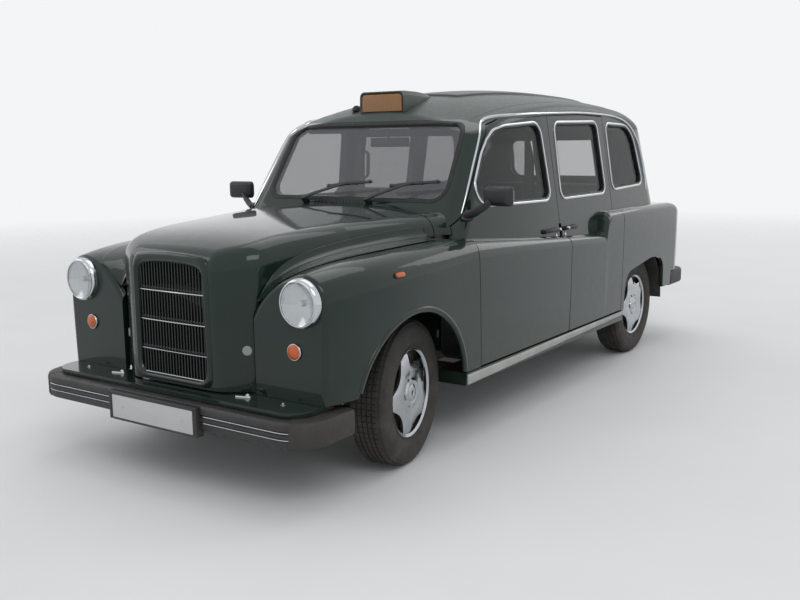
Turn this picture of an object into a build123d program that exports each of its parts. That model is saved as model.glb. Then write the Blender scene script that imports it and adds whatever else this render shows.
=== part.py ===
from build123d import *
from functools import cache
import math
import os

# A four-door taxi cab, in millimetres.
# X points to the cab's left, Y to its rear and Z up. The origin is on the ground at its middle.

# Overall sizes
wheelbase = 2810
front_overhang = 840
rear_overhang = 910
body_half_width = 874
track = 1410
waist_z = 1100
waist_half_width = 777
tumblehome = 0.154
front_taper = 52
roof_z = 1788
pillar_wall = 46
door_wall = 98
shut_gap = 5
# Cutting blocks reach this far out, clear of the body
clear_x = body_half_width + 26

# Stations along the cab
front_y = -(front_overhang + wheelbase + rear_overhang) / 2
front_axle_y = front_y + front_overhang
rear_axle_y = front_axle_y + wheelbase
rear_y = rear_axle_y + rear_overhang
nose_y = front_y + 145
pod_y = front_y + 220
bonnet_end_y = front_axle_y + 442
door_front_y = front_axle_y + 482
door_split_y = front_axle_y + 1560
door_rear_y = rear_axle_y - 445
tail_y = rear_y - 165

rear_bumper_end_y = tail_y - 225

# Heights
sill_z = 300
door_bottom_z = 368
nose_bottom_z = 430
wing_top_z = 1006
rear_wing_z = 1034
window_sill_z = 1152
window_top_z = 1568
roof_joint_z = 1592
bumper_low_z = 288
bumper_high_z = 400
rear_bumper_low_z = 408
rear_bumper_high_z = 512

# Wheels and steering
tyre_radius = 338
tyre_width = 184
rim_radius = 214
kingpin_x = 650
stub_radius = 20
running_clearance = 0.05
parked_steer = 10


def side_prism(outline, x_from, x_to):
    """A side view outline, drawn in Y and Z, pushed along X."""
    return extrude(Plane.YZ.offset(x_from) * outline, x_to - x_from)


def plan_prism(outline, z_from, z_to):
    """A plan view outline, drawn in X and Y, pushed along Z."""
    return extrude(Plane.XY.offset(z_from) * outline, z_to - z_from)


def cross_plane(y):
    """The plane of a cross-section at a station, drawn in X and Z."""
    return Plane(origin=(0, y, 0), x_dir=(1, 0, 0), z_dir=(0, -1, 0))


def front_prism(outline, y_from, y_to):
    """A front view outline, drawn in X and Z, pushed along Y."""
    return extrude(cross_plane(y_to) * outline, y_to - y_from)


def polygon(points, radius=0):
    """A closed outline of straight runs, with its corners rounded."""
    face = make_face(Polyline(*points, close=True))
    if radius:
        face = fillet(face.vertices(), radius)
    return face


def box(x_from, x_to, y_from, y_to, z_from, z_to):
    """A box between two corners."""
    solid = Box(x_to - x_from, y_to - y_from, z_to - z_from)
    return Pos((x_from + x_to) / 2, (y_from + y_to) / 2, (z_from + z_to) / 2) * solid


def rod_x(x_from, x_to, y, z, radius):
    """A round bar along X."""
    bar = Cylinder(radius, x_to - x_from)
    return Pos((x_from + x_to) / 2, y, z) * Rot(0, 90, 0) * bar


def other_side(solid):
    """The same piece on the cab's right."""
    return mirror(solid, about=Plane.YZ)


def both_sides(solid):
    """A piece and its mirror image, as one node."""
    return Compound(children=[*solid.solids(), *other_side(solid).solids()])


# Side swell of the front wing, from the headlamp to the door
swell_columns = ("y", "half_width", "top_z", "edge_radius", "valley_drop")
swell_rows = (
    (pod_y, body_half_width - 72, wing_top_z - 53, 112, 190),
    (pod_y + 120, body_half_width - 44, wing_top_z - 32, 118, 110),
    (pod_y + 320, body_half_width - 16, wing_top_z - 13, 122, 62),
    (front_axle_y, body_half_width - 2, wing_top_z, 116, 40),
    (door_front_y, body_half_width, wing_top_z + 2, 92, 16),
    (door_front_y + 500, body_half_width, wing_top_z - 37, 66, 6),
)
swell_inner_x = 420
swell_tuck = 14
wing_wall = 25


def swell_section(row, inset, inner_x=swell_inner_x, shelf=0):
    """One cross-section of the swell: tucked-in side, round top edge and falling inner side."""
    size = dict(zip(swell_columns, row))
    outer_x = size["half_width"] - inset
    top = size["top_z"] - inset
    radius = size["edge_radius"] - inset / 2
    inner_x = inner_x - inset
    bottom = sill_z - inset
    side_top = top - radius
    crest_x = outer_x - radius
    low = (outer_x - swell_tuck, bottom)
    inner_top = (inner_x, top - size["valley_drop"])
    side = ThreePointArc(low, (outer_x - swell_tuck / 4, (bottom + side_top) / 2), (outer_x, side_top))
    diagonal = radius * math.sqrt(0.5)
    edge = ThreePointArc(
        (outer_x, side_top), (crest_x + diagonal, side_top + diagonal), (crest_x, top)
    )
    valley = ThreePointArc(
        (crest_x, top), ((crest_x + inner_x) / 2, top - size["valley_drop"] / 4), inner_top
    )
    foot = Polyline((inner_x - shelf, bottom), low)
    if shelf:
        rest = [Polyline(inner_top, (inner_x - shelf, inner_top[1]), (inner_x - shelf, bottom)), foot]
    else:
        rest = [Line(inner_top, (inner_x, bottom)), foot]
    return cross_plane(size["y"]) * make_face([side, edge, valley, *rest])


@cache
def swell(inset=0):
    """The side swell on the left, or its inner face when inset."""
    return loft([swell_section(row, inset) for row in swell_rows])


# Side from the front door to the tail: a falling crease, the step of the rear wing and the round tail
step_y = door_rear_y - 289
flank_edge_radius = 56
tail_corner = 170
tail_top_corner = 150
tail_top_z = rear_wing_z - 22
flank_rows = (
    (door_front_y - 110, body_half_width, wing_top_z + 6, 96, 18),
    (door_front_y, body_half_width, wing_top_z + 2, 92, 16),
    (door_front_y + 250, body_half_width, wing_top_z - 17, 78, 10),
    (door_front_y + 500, body_half_width, wing_top_z - 37, 66, 6),
    (door_front_y + 790, body_half_width, wing_top_z - 58, 60, 4),
    (door_split_y, body_half_width, wing_top_z - 77, 56, 4),
    (door_split_y + 260, body_half_width, wing_top_z - 93, 54, 4),
    (step_y, body_half_width, wing_top_z - 107, 52, 4),
    (step_y + 9, body_half_width, wing_top_z - 96, 52, 4),
    (step_y + 18, body_half_width, wing_top_z - 62, 52, 4),
    (step_y + 29, body_half_width, wing_top_z - 21, 54, 4),
    (step_y + 46, body_half_width, wing_top_z + 8, 56, 4),
    (step_y + 76, body_half_width, wing_top_z + 23, 58, 4),
    (step_y + 124, body_half_width, rear_wing_z - 1, 60, 4),
    (rear_axle_y - 180, body_half_width, rear_wing_z - 1, 60, 4),
    (tail_y - tail_corner - 60, body_half_width, rear_wing_z - 15, 60, 4),
)
tail_turns = (0, 18, 36, 54, 72, 90)


@cache
def flank(inset=0):
    """The left side from the front door to the tail, or its inner face when inset."""
    sections = [swell_section(row, inset) for row in flank_rows]
    reach = tail_corner - inset
    drop = tail_top_corner - inset
    for turn in tail_turns:
        angle = math.radians(turn)
        y = tail_y - inset - reach * (1 - math.sin(angle))
        half_width = body_half_width - reach * (1 - math.cos(angle))
        top = tail_top_z - drop * (1 - math.cos(angle))
        sections.append(swell_section((y, half_width, top, flank_edge_radius, 4), inset))
    return loft(sections, ruled=True)


def cabin_outline(level, inset):
    """Plan outline of the cabin at one level: its height, half-width, front and rear."""
    z, half_width, front, rear = level
    front_x = half_width - front_taper
    straight_y = door_split_y
    bow_y = (front + straight_y) / 2
    bow_x = half_width - front_taper * ((straight_y - bow_y) / (straight_y - front)) ** 2
    edges = [
        Line((-front_x, front), (front_x, front)),
        ThreePointArc((front_x, front), (bow_x, bow_y), (half_width, straight_y)),
        Line((half_width, straight_y), (half_width, rear)),
        Line((half_width, rear), (-half_width, rear)),
        Line((-half_width, rear), (-half_width, straight_y)),
        ThreePointArc((-half_width, straight_y), (-bow_x, bow_y), (-front_x, front)),
    ]
    face = make_face(edges)
    by_station = face.vertices().sort_by(Axis.Y)
    face = fillet(by_station[:2], 110 - inset)
    by_station = face.vertices().sort_by(Axis.Y)
    face = fillet(by_station[-2:], 290 - inset)
    return Plane.XY.offset(z) * face


windscreen_foot_y = front_axle_y + 603
windscreen_foot_z = 1185
windscreen_lean = 0.644
back_foot_y = rear_axle_y + 500
back_lean = 0.18


def cabin_levels(inset):
    """Height, half-width, front and rear of the cabin block at its foot and top."""
    levels = []
    for z in (880, 1850):
        half_width = waist_half_width - tumblehome * (z - waist_z) - inset
        front = windscreen_foot_y + windscreen_lean * (z - windscreen_foot_z) + inset * 1.19
        rear = back_foot_y - back_lean * (z - waist_z) - inset
        levels.append((z, half_width, front, rear))
    return levels


# Roof line along the middle of the cab: a slow curve from its peak and a faster one at each end
roof_peak_y = windscreen_foot_y + 1437
roof_ends = {-1: (6160, 1400, 180), 1: (10500, 1146, 194)}
roof_end_power = 7
roof_stations = 14
roof_cross_radius = 2300
roof_edge_radius = 62


def roof_height(y):
    """Height of the roof's middle line at a station."""
    reach = y - roof_peak_y
    radius, length, fall = roof_ends[1 if reach > 0 else -1]
    reach = abs(reach)
    return roof_z - reach**2 / (2 * radius) - fall * (reach / length) ** roof_end_power


def roof_section(y, inset):
    """One cross-section of the space under the roof skin."""
    reach = clear_x + 50
    drop = roof_cross_radius - math.sqrt(roof_cross_radius**2 - reach**2)
    top = roof_height(y) - inset
    crown = ThreePointArc((-reach, top - drop), (0, top), (reach, top - drop))
    rest = Polyline((reach, top - drop), (reach, 400), (-reach, 400), (-reach, top - drop))
    return cross_plane(y) * make_face([crown, rest])


@cache
def cabin(inset=0):
    """The cabin block: leaning walls with rounded corners under a crowned roof."""
    walls = loft([cabin_outline(level, inset) for level in cabin_levels(inset)], ruled=True)
    first = windscreen_foot_y - 250
    step = (back_foot_y + 80 - first) / (roof_stations - 1)
    stations = [first + step * index for index in range(roof_stations)]
    under_roof = loft([roof_section(y, inset) for y in stations])
    block = walls & under_roof
    if inset > roof_edge_radius / 2:
        return block
    top = block.faces().sort_by(Axis.Z)[-1]
    return fillet(top.edges(), roof_edge_radius)


# Bonnet and scuttle: station and half-width of the sides
bonnet_columns = ("y", "half_width")
bonnet_side_rows = (
    (nose_y + 105, 430),
    (nose_y + 640, 508),
    (bonnet_end_y, 640),
    (bonnet_end_y + 200, 700),
)
nose_half_width = 262
nose_height = 1008
bonnet_top_z = 1150
bonnet_edge_radius = 100
bonnet_wall = 24
bonnet_stations = 8


def bonnet_height(y):
    """Height of the bonnet's middle line at a station."""
    reach = bonnet_end_y - y
    length = bonnet_end_y - nose_y
    return bonnet_top_z - 60 * reach / length - 82 * (max(reach, 0) / length) ** 9


def bonnet_section(y, inset):
    """One cross-section of the space under the bonnet's top."""
    top = bonnet_height(y) - inset
    crown = ThreePointArc((-800, top - 60), (0, top), (800, top - 60))
    rest = Polyline((800, top - 60), (800, 300), (-800, 300), (-800, top - 60))
    return cross_plane(y) * make_face([crown, rest])


def bonnet_plan(inset):
    """Plan outline of nose, bonnet and scuttle, with the prow's rounded corners."""
    side = [(half_width - inset, y) for y, half_width in bonnet_side_rows]
    far = [(-x, y) for x, y in reversed(side)]
    front = nose_y + inset
    points = [(nose_half_width - inset / 2, front), *side, *far, (-nose_half_width + inset / 2, front)]
    face = make_face(Polyline(*points, close=True))
    by_station = face.vertices().sort_by(Axis.Y)
    face = fillet(by_station[:2], 110)
    by_station = face.vertices().sort_by(Axis.Y)
    turn = [v for v in by_station if abs(v.Y - bonnet_side_rows[0][0]) < 1]
    return fillet(turn, 160)


@cache
def bonnet_block(inset=0):
    """The whole form of nose, bonnet and scuttle, or its inner face when inset."""
    walls = plan_prism(bonnet_plan(inset), nose_bottom_z - max(inset, 0), bonnet_top_z + 100)
    first = nose_y - 30
    step = (bonnet_end_y + 230 - first) / (bonnet_stations - 1)
    stations = [first + step * index for index in range(bonnet_stations)]
    block = walls & loft([bonnet_section(y, inset) for y in stations])
    top = block.faces().sort_by(Axis.Z)[-1]
    rim = [edge for edge in top.edges() if edge.center().Y < bonnet_end_y + 190]
    return fillet(rim, bonnet_edge_radius - inset / 2)


# Door openings in side view
drip_rows = (
    (door_front_y + 115, waist_z + 18),
    (door_front_y + 355, waist_z + 376),
    (door_front_y + 450, waist_z + 477),
    (door_front_y + 573, waist_z + 511),
    (door_split_y + 16, waist_z + 533),
    (door_split_y + 446, waist_z + 546),
    (door_rear_y + 74, waist_z + 540),
    (door_rear_y + 382, waist_z + 499),
    (door_rear_y + 573, waist_z + 385),
    (door_rear_y + 644, waist_z + 150),
    (door_rear_y + 648, waist_z + 22),
)
drip_margin = 14


def front_door_outline():
    """Opening of the front door, from the sill round the windscreen pillar to the split."""
    split = door_split_y + shut_gap / 2
    points = (
        (door_front_y + 37, door_bottom_z),
        (door_front_y, wing_top_z - 60),
        (door_front_y + 50, waist_z - 38),
        (drip_rows[0][0] + 4, waist_z + 18),
        (drip_rows[1][0] + 12, drip_rows[1][1] - 10),
        (drip_rows[2][0] + 6, drip_rows[2][1] - drip_margin),
        (drip_rows[3][0], drip_rows[3][1] - drip_margin),
        (split, drip_rows[4][1] - drip_margin),
        (split, door_bottom_z),
    )
    return polygon(points)


def rear_door_outline():
    """Opening of the rear door, between the split and the rear wing."""
    split = door_split_y - shut_gap / 2
    points = (
        (split, door_bottom_z),
        (split, drip_rows[4][1] - drip_margin),
        (drip_rows[5][0], drip_rows[5][1] - drip_margin),
        (door_rear_y, drip_rows[6][1] - drip_margin),
        (door_rear_y, door_bottom_z),
    )
    return polygon(points)


def front_window_outline():
    """Window of the front door in side view."""
    face = polygon(
        (
            (door_front_y + 188, window_sill_z + 10),
            (door_front_y + 440, window_top_z - 32),
            (door_split_y - 118, window_top_z),
            (door_split_y - 90, window_sill_z),
        )
    )
    return fillet(face.vertices(), 45)


def rear_window_outline():
    """Window of the rear door in side view."""
    face = polygon(
        (
            (door_split_y + 70, window_sill_z),
            (door_split_y + 88, window_top_z),
            (door_rear_y - 112, window_top_z + 10),
            (door_rear_y - 96, window_sill_z),
        )
    )
    return fillet(face.vertices(), 45)


def quarter_window_outline():
    """Fixed quarter window with its large round upper corner."""
    left = door_rear_y + 52
    right = door_rear_y + 570
    face = polygon(
        (
            (left, window_sill_z + 16),
            (left, window_top_z + 2),
            (right - 90, window_top_z - 10),
            (right, window_sill_z + 30),
        )
    )
    corner = face.vertices().sort_by(Axis((0, 0, 0), (1, 1, 0)))[-1]
    others = [vertex for vertex in face.vertices() if vertex.center() != corner.center()]
    face = fillet(corner, 175)
    low = [v for v in face.vertices() if v.Y < window_sill_z + 40 or v.X < left + 5]
    return fillet(low, 42)


def windscreen_outline():
    """Windscreen aperture in front view."""
    low_x, high_x = 590, 566
    return polygon(
        ((-low_x, windscreen_foot_z), (low_x, windscreen_foot_z), (high_x, 1567), (-high_x, 1567)), 70
    )


def back_window_outline():
    """Rear window aperture in front view."""
    return polygon(((-430, 1196), (430, 1196), (400, 1490), (-400, 1490)), 80)


void_ledge = 12


def void_outline(z, half_width, taper):
    """Plan outline of the space inside the doors at one level."""
    front = door_front_y - 100
    rear = door_rear_y + 100
    points = (
        (-half_width + taper, front), (half_width - taper, front), (half_width, door_split_y),
        (half_width, rear), (-half_width, rear), (-half_width, door_split_y),
    )
    return Plane.XY.offset(z) * polygon(points)


def inner_void():
    """The clear space between the doors, below the waist and above it."""
    foot = void_outline(sill_z - 40, body_half_width - door_wall, 10)
    top = void_outline(waist_z + 30, waist_half_width - pillar_wall - void_ledge, front_taper + 6)
    above = box(-clear_x, clear_x, front_y, rear_y, waist_z, roof_z)
    return loft([foot, top], ruled=True) + (cabin(pillar_wall) & above)


def body_side():
    """The closed outer form of the left side: its flank and the cabin wall."""
    half = box(320, clear_x, front_y, rear_y, waist_z - 200, roof_z + 20)
    return flank() + (cabin() & half)


# Doors
door_zone_x = 655
door_zone_lean = 0.154
split_depth = 210
split_half_low = 40
split_half_waist = 48
split_half_top = 54


def door_zone(margin=0):
    """The layer in which the left doors and their openings lie, leaning in above the waist."""
    low_x = door_zone_x - margin
    high_x = low_x - door_zone_lean * (roof_z - waist_z)
    outline = polygon(((low_x, 0), (low_x, waist_z), (high_x, roof_z), (clear_x + 50, roof_z), (clear_x + 50, 0)))
    return front_prism(outline, front_y, rear_y)


def side_cutter(outline, margin=shut_gap):
    """A door opening through the left side of the body."""
    return side_prism(outline, 500, clear_x + 50) & door_zone(margin)


def split_gap(z, outer_x, half_inner):
    """Plan outline of the gap between the doors at one level, wider on the inside."""
    half_outer = shut_gap / 2
    points = (
        (outer_x - split_depth, door_split_y - half_inner), (outer_x, door_split_y - half_outer),
        (outer_x + 40, door_split_y - half_outer), (outer_x + 40, door_split_y + half_outer),
        (outer_x, door_split_y + half_outer), (outer_x - split_depth, door_split_y + half_inner),
    )
    return Plane.XY.offset(z) * polygon(points)


def split_wedge():
    """The tapered gap that lets each door's edge swing past the other."""
    top_x = waist_half_width - tumblehome * (roof_z - waist_z)
    joint_z = waist_z - 100
    low = loft([split_gap(z, body_half_width, split_half_low) for z in (sill_z, joint_z)], ruled=True)
    foot = split_gap(joint_z, waist_half_width + 15, split_half_waist)
    high = loft([foot, split_gap(roof_z, top_x, split_half_top)], ruled=True)
    return low + high


def door(wall, opening, window):
    """One door of the left side, cut from its whole wall, with the window's aperture."""
    face = offset(opening, amount=-shut_gap, kind=Kind.INTERSECTION) - window
    panel = side_prism(face, 500, clear_x) & door_zone()
    return (wall & panel) - split_wedge()


def glass_sheet():
    """The thin layer in which all the cabin's glass lies."""
    return cabin(12) - cabin(17)


# Wings and wheel arches
front_arch_radius = 420
wing_gap_y = nose_y + 107
wing_flange = 50
wing_front_round = 24


def wing_form():
    """The front wing's outer form, with its front face rounded into the side and top."""
    body = swell()
    front = body.faces().sort_by(Axis.Y)[0]
    rim = [
        edge for edge in front.edges()
        if edge.center().X > swell_inner_x + wing_front_round and edge.center().Z > sill_z + wing_front_round
    ]
    return fillet(rim, wing_front_round)


def front_arch():
    """Front wheel opening in side view."""
    centre = (front_axle_y - 35, tyre_radius - 13)
    return Pos(*centre) * Circle(front_arch_radius) + Pos(centre[0], centre[1] - 150) * Rectangle(
        2 * front_arch_radius, 300
    )


def rear_arch():
    """Rear wheel opening in side view: flat on top and leaning back."""
    face = polygon(
        (
            (rear_axle_y - 398, sill_z - 100),
            (rear_axle_y - 386, 604),
            (rear_axle_y + 95, 668),
            (rear_axle_y + 335, 640),
            (rear_axle_y + 378, sill_z - 100),
        )
    )
    by_height = face.vertices().sort_by(Axis.Y)
    face = fillet(by_height[-1], 420)
    corners = [v for v in face.vertices() if 600 < v.Y < 645 and abs(v.X - rear_axle_y) > 300]
    return fillet(corners, 120)


def front_wing():
    """Left front wing: a thin skin with its wheel arch."""
    outline = polygon(
        (
            (pod_y - 5, nose_bottom_z - 5),
            (pod_y - 5, waist_z),
            (door_front_y + 50, waist_z),
            (door_front_y + 50, waist_z - 38),
            (door_front_y, wing_top_z - 60),
            (door_front_y + 37, door_bottom_z),
            (front_axle_y, door_bottom_z),
            (front_axle_y, nose_bottom_z - 5),
        )
    )
    skin = wing_form() - (swell(wing_wall) & box(0, clear_x, pod_y + wing_wall, rear_y, 0, roof_z))
    skin = skin & side_prism(outline, 300, clear_x)
    nose_side = bonnet_block(-shut_gap - 1) & box(-clear_x, clear_x, front_y, wing_gap_y + shut_gap, 0, roof_z)
    scuttle_side = bonnet_block() & box(-clear_x, clear_x, bonnet_end_y, rear_y, 0, roof_z)
    under_bonnet = plan_prism(bonnet_plan(wing_flange), 0, roof_z)
    return skin - nose_side - scuttle_side - under_bonnet - side_prism(front_arch(), 300, clear_x)


def rear_wing():
    """Left rear wing: a thin skin round the wheel, the quarter and the tail."""
    outline = polygon(
        (
            (door_rear_y, door_bottom_z),
            (door_rear_y, waist_z),
            (tail_y + 5, waist_z),
            (tail_y + 5, rear_bumper_high_z + 8),
            (rear_bumper_end_y - 8, rear_bumper_high_z + 8),
            (rear_bumper_end_y - 8, nose_bottom_z - 10),
            (rear_axle_y, nose_bottom_z - 10),
            (rear_axle_y, door_bottom_z),
        )
    )
    skin = (flank() - flank(wing_wall)) & side_prism(outline, 300, clear_x)
    boot = box(-boot_half_width - 6, boot_half_width + 6, rear_axle_y, rear_y, 0, roof_z)
    solid = skin - cabin() - boot - side_prism(rear_arch(), 300, clear_x)
    return solid.solids().sort_by(SortBy.VOLUME)[-1]


# Cabin shell
back_joint_z = 1545
cowl_z = 1020


def roof_line_outline():
    """The side view of everything above the roof joint."""
    rail = [(y, z - drip_margin) for y, z in drip_rows[3:8]]
    rail[0] = (drip_rows[3][0] - 20, roof_joint_z)
    last = drip_rows[7][0] + 40
    points = [(front_y, roof_joint_z), *rail, (last, back_joint_z), (rear_y, back_joint_z)]
    return polygon([*points, (rear_y, roof_z + 100), (front_y, roof_z + 100)])


def shell():
    """The cabin's wall all round, without openings."""
    return cabin() - cabin(pillar_wall)


def roof_panel(wall):
    """Roof skin with its gutters' edge, from the header to above the rear window."""
    return wall & side_prism(roof_line_outline(), -clear_x, clear_x)


def windscreen_frame(wall):
    """Windscreen pillars and header, ahead of the front doors."""
    zone = box(-clear_x, clear_x, front_y, door_split_y - 200, cowl_z, roof_z)
    frame = (wall & zone) - side_prism(roof_line_outline(), -clear_x, clear_x)
    opening = side_cutter(front_door_outline())
    frame = frame - opening - other_side(opening)
    return frame - front_prism(windscreen_outline(), front_y, door_split_y - 300)


def rear_body(wall):
    """Rear pillars and the panel round the rear window, in one piece."""
    zone = box(-clear_x, clear_x, door_rear_y, rear_y, rear_wing_z - wing_wall, roof_z)
    body = (wall & zone) - side_prism(roof_line_outline(), -clear_x, clear_x)
    window = side_prism(quarter_window_outline(), 500, clear_x + 50)
    body = body - window - other_side(window)
    return body - front_prism(back_window_outline(), rear_axle_y, rear_y)


post_half = 30


def centre_post():
    """Left post between the doors."""
    rows = (
        (floor_z, body_half_width - door_wall - void_ledge),
        (waist_z, waist_half_width - pillar_wall - void_ledge),
        (roof_z, waist_half_width - pillar_wall - tumblehome * (roof_z - waist_z)),
    )
    outer = [(x - shut_gap - 1, z) for z, x in rows]
    inner = [(x - 40, z) for x, z in reversed(outer)]
    post = front_prism(polygon(outer + inner), door_split_y - post_half, door_split_y + post_half)
    low = box(0, clear_x, front_y, rear_y, 0, waist_z)
    high = box(0, clear_x, front_y, rear_y, waist_z, roof_z)
    return (post & low) + (post & cabin(pillar_wall + 2) & high)


sill_depth = 184


def sill():
    """Left sill under the doors, with its bright tread strip's seat."""
    zone = box(body_half_width - sill_depth, clear_x, front_axle_y + 382, rear_axle_y - 408, sill_z, door_bottom_z - shut_gap)
    return flank() & zone


# Bonnet, grille and scuttle
grille_low_z = 452
grille_high_z = 988
grille_half_width = 226
grille_slats = 22
grille_bars = 3


def grille_outline(margin=0):
    """The grille's outline in front view, a little narrower at its top."""
    half = grille_half_width + margin
    return polygon(
        (
            (-half, grille_low_z - margin),
            (half, grille_low_z - margin),
            (half - 14, grille_high_z + margin),
            (-half + 14, grille_high_z + margin),
        ),
        40,
    )


bonnet_seat_gap = 1.3 * shut_gap


def bonnet_underside():
    """The form of the wings under the bonnet, with its gap, and the gap at the nose's sides."""
    gap = bonnet_seat_gap
    inner_x = swell_inner_x - 2 * gap
    wing = loft([swell_section(row, -gap, inner_x, inner_x - 250) for row in swell_rows])
    behind_nose = box(-clear_x, clear_x, wing_gap_y - shut_gap / 2, rear_y, 0, roof_z)
    left = wing & behind_nose
    engine_bay = box(-260, 260, wing_gap_y - shut_gap / 2, rear_y, 0, wing_top_z - 60)
    return left + other_side(left) + engine_bay


def bonnet():
    """One-piece bonnet with the nose that carries the grille."""
    hollow = bonnet_block() - bonnet_block(bonnet_wall)
    front = box(-clear_x, clear_x, front_y, bonnet_end_y - shut_gap / 2, 0, roof_z)
    panel = (hollow & front) - bonnet_underside()
    return panel - front_prism(grille_outline(2), nose_y - 50, nose_y + 90)


def grille():
    """Frame with upright slats and cross bars, seated in the nose."""
    depth = 26
    frame = front_prism(grille_outline(1), nose_y + 2, nose_y + depth)
    frame = frame - front_prism(grille_outline(-16), nose_y - 5, nose_y + depth + 5)
    inside = front_prism(grille_outline(-15), nose_y, nose_y + depth)
    pitch = 2 * (grille_half_width - 14) / (grille_slats + 1)
    bars = []
    for index in range(1, grille_slats + 1):
        x = -(grille_half_width - 14) + pitch * index
        bars.append(box(x - 3, x + 3, nose_y + 6, nose_y + depth - 4, grille_low_z, grille_high_z))
    rise = (grille_high_z - grille_low_z) / (grille_bars + 1)
    for index in range(1, grille_bars + 1):
        z = grille_low_z + rise * index
        bars.append(box(-grille_half_width, grille_half_width, nose_y + 8, nose_y + depth - 6, z - 4, z + 4))
    lattice = bars[0].fuse(*bars[1:])
    return frame + (lattice & inside)


def scuttle():
    """Scuttle panel behind the bonnet, with the bulkhead and its tunnel for the gearbox."""
    hollow = bonnet_block() - bonnet_block(30)
    top = hollow & box(-clear_x, clear_x, bonnet_end_y + shut_gap / 2, rear_y, 930, roof_z)
    bulkhead = box(-640, 640, bulkhead_y, bulkhead_y + 20, 400, bonnet_top_z - 10)
    bulkhead = bulkhead & bonnet_block()
    tunnel = box(-tunnel_half_width, tunnel_half_width, bulkhead_y - 10, bulkhead_y + 30, 300, tunnel_z)
    cabin_front = cabin() & box(-clear_x, clear_x, front_y, rear_y, cowl_z, roof_z)
    opening = side_cutter(front_door_outline())
    return top + bulkhead - tunnel - cabin_front - opening - other_side(opening)


# Boot lid and tail
boot_half_width = 520
boot_wall = 28
boot_lip_z = 528
boot_top_y = back_foot_y + 16


def boot_band(depth, wall, foot_z):
    """Side view band that follows the tail: its depth under the skin, its wall and its foot."""
    sides = []
    for skin in (depth, depth + wall):
        high = (boot_top_y, waist_z - 8 - skin)
        middle = (tail_y - 62 - skin * 0.75, 930 - skin * 0.75)
        low = (tail_y + 6 - skin, 690)
        sides.append((high, middle, low, (tail_y + 6 - skin, foot_z)))
    outer, inner = sides
    edges = [
        ThreePointArc(outer[0], outer[1], outer[2]),
        Line(outer[2], outer[3]),
        Line(outer[3], inner[3]),
        Line(inner[3], inner[2]),
        ThreePointArc(inner[2], inner[1], inner[0]),
        Line(inner[0], outer[0]),
    ]
    return make_face(edges)


def boot_lid():
    """Boot lid, hinged along its top edge."""
    return side_prism(boot_band(0, boot_wall, boot_lip_z), -boot_half_width, boot_half_width)


def tail_panel():
    """Panel under the boot lid, with the frame of the boot's opening behind it."""
    seat = boot_half_width + 6
    frame = side_prism(boot_band(boot_wall + 6, 24, nose_bottom_z - 10), -seat, seat)
    opening = box(-450, 450, rear_axle_y, rear_y, 560, 985)
    below = side_prism(boot_band(0, boot_wall + 10, nose_bottom_z - 10), -seat, seat)
    below = below & box(-clear_x, clear_x, rear_axle_y, rear_y, 0, boot_lip_z - shut_gap)
    return (frame - opening) + below


# Wheels
def tyre_section():
    """Half-section of the tyre, drawn from the axle line outwards."""
    half = tyre_width / 2
    shoulder = tyre_radius - 22
    return make_face(
        [
            Line((-half + 14, rim_radius), (half - 14, rim_radius)),
            ThreePointArc((half - 14, rim_radius), (half, (rim_radius + shoulder) / 2), (half - 10, shoulder)),
            ThreePointArc((half - 10, shoulder), (half - 17, tyre_radius - 7), (half - 32, tyre_radius)),
            Line((half - 32, tyre_radius), (-half + 32, tyre_radius)),
            ThreePointArc((-half + 32, tyre_radius), (-half + 17, tyre_radius - 7), (-half + 10, shoulder)),
            ThreePointArc((-half + 10, shoulder), (-half, (rim_radius + shoulder) / 2), (-half + 14, rim_radius)),
        ]
    )


def place_wheel(solid, y):
    """A wheel piece made about the X axis, moved to its axle on the left."""
    return Pos(track / 2, y, tyre_radius) * solid


def spun(section):
    """A section in distance along the axle and radius, turned about the axle."""
    face = Plane.XZ * section
    return revolve(face, Axis.X)


def tyre():
    """One tyre about its own centre."""
    return spun(tyre_section())


def wheel():
    """Pressed wheel with its rim, disc, hub and domed trim."""
    bore = stub_radius + running_clearance
    rim = polygon(
        (
            (-76, rim_radius), (-76, rim_radius - 12), (-40, rim_radius - 26), (42, rim_radius - 26),
            (60, rim_radius - 14), (78, rim_radius - 12), (78, rim_radius),
        )
    )
    disc = polygon(
        ((30, rim_radius - 20), (30, 120), (44, 96), (44, bore), (54, bore), (54, 100), (42, 124), (42, rim_radius - 20))
    )
    trim = polygon(
        (
            (62, rim_radius - 10), (80, rim_radius - 14), (70, rim_radius - 40), (78, 120), (84, 84), (84, 0),
            (78, 0), (78, 80), (72, 116), (62, rim_radius - 44), (42, rim_radius - 20),
        )
    )
    return spun(rim) + spun(disc) + spun(trim)


def steer(solid, side=1):
    """A front wheel piece turned to the parked steering angle about its kingpin."""
    pin = Axis((side * kingpin_x, front_axle_y, 0), (0, 0, 1))
    return solid.rotate(pin, parked_steer)


gearbox_reach = 560
kingpin_radius = 12
knuckle_half_height = 104


def knuckle():
    """Left steering knuckle: kingpin post and stub axle."""
    post = Cylinder(30, 2 * knuckle_half_height - 12)
    pin = Cylinder(kingpin_radius, 2 * knuckle_half_height + 60)
    pillar = Pos(kingpin_x, front_axle_y, tyre_radius) * (post + pin)
    stub = rod_x(kingpin_x, track / 2 + 60, front_axle_y, tyre_radius, stub_radius)
    flange = rod_x(kingpin_x + 24, kingpin_x + 42, front_axle_y, tyre_radius, 62)
    return pillar + stub + flange


# Chassis and running gear
rail_x = 285
rail_width = 48
rail_low_z = 262
rail_high_z = 362
outrigger_x = 690
boot_floor_z = 640
wheelhouse_radius = 402
floor_z = rail_high_z + 16
bulkhead_y = bonnet_end_y + 40
tunnel_half_width = 135
tunnel_z = 655
bumper_wall = 92
bumper_back_y = front_y + 18 + bumper_wall
spring_front_y = rear_axle_y - 615
spring_rear_y = rear_axle_y + 600
spring_x = 425
spring_width = 60


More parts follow.
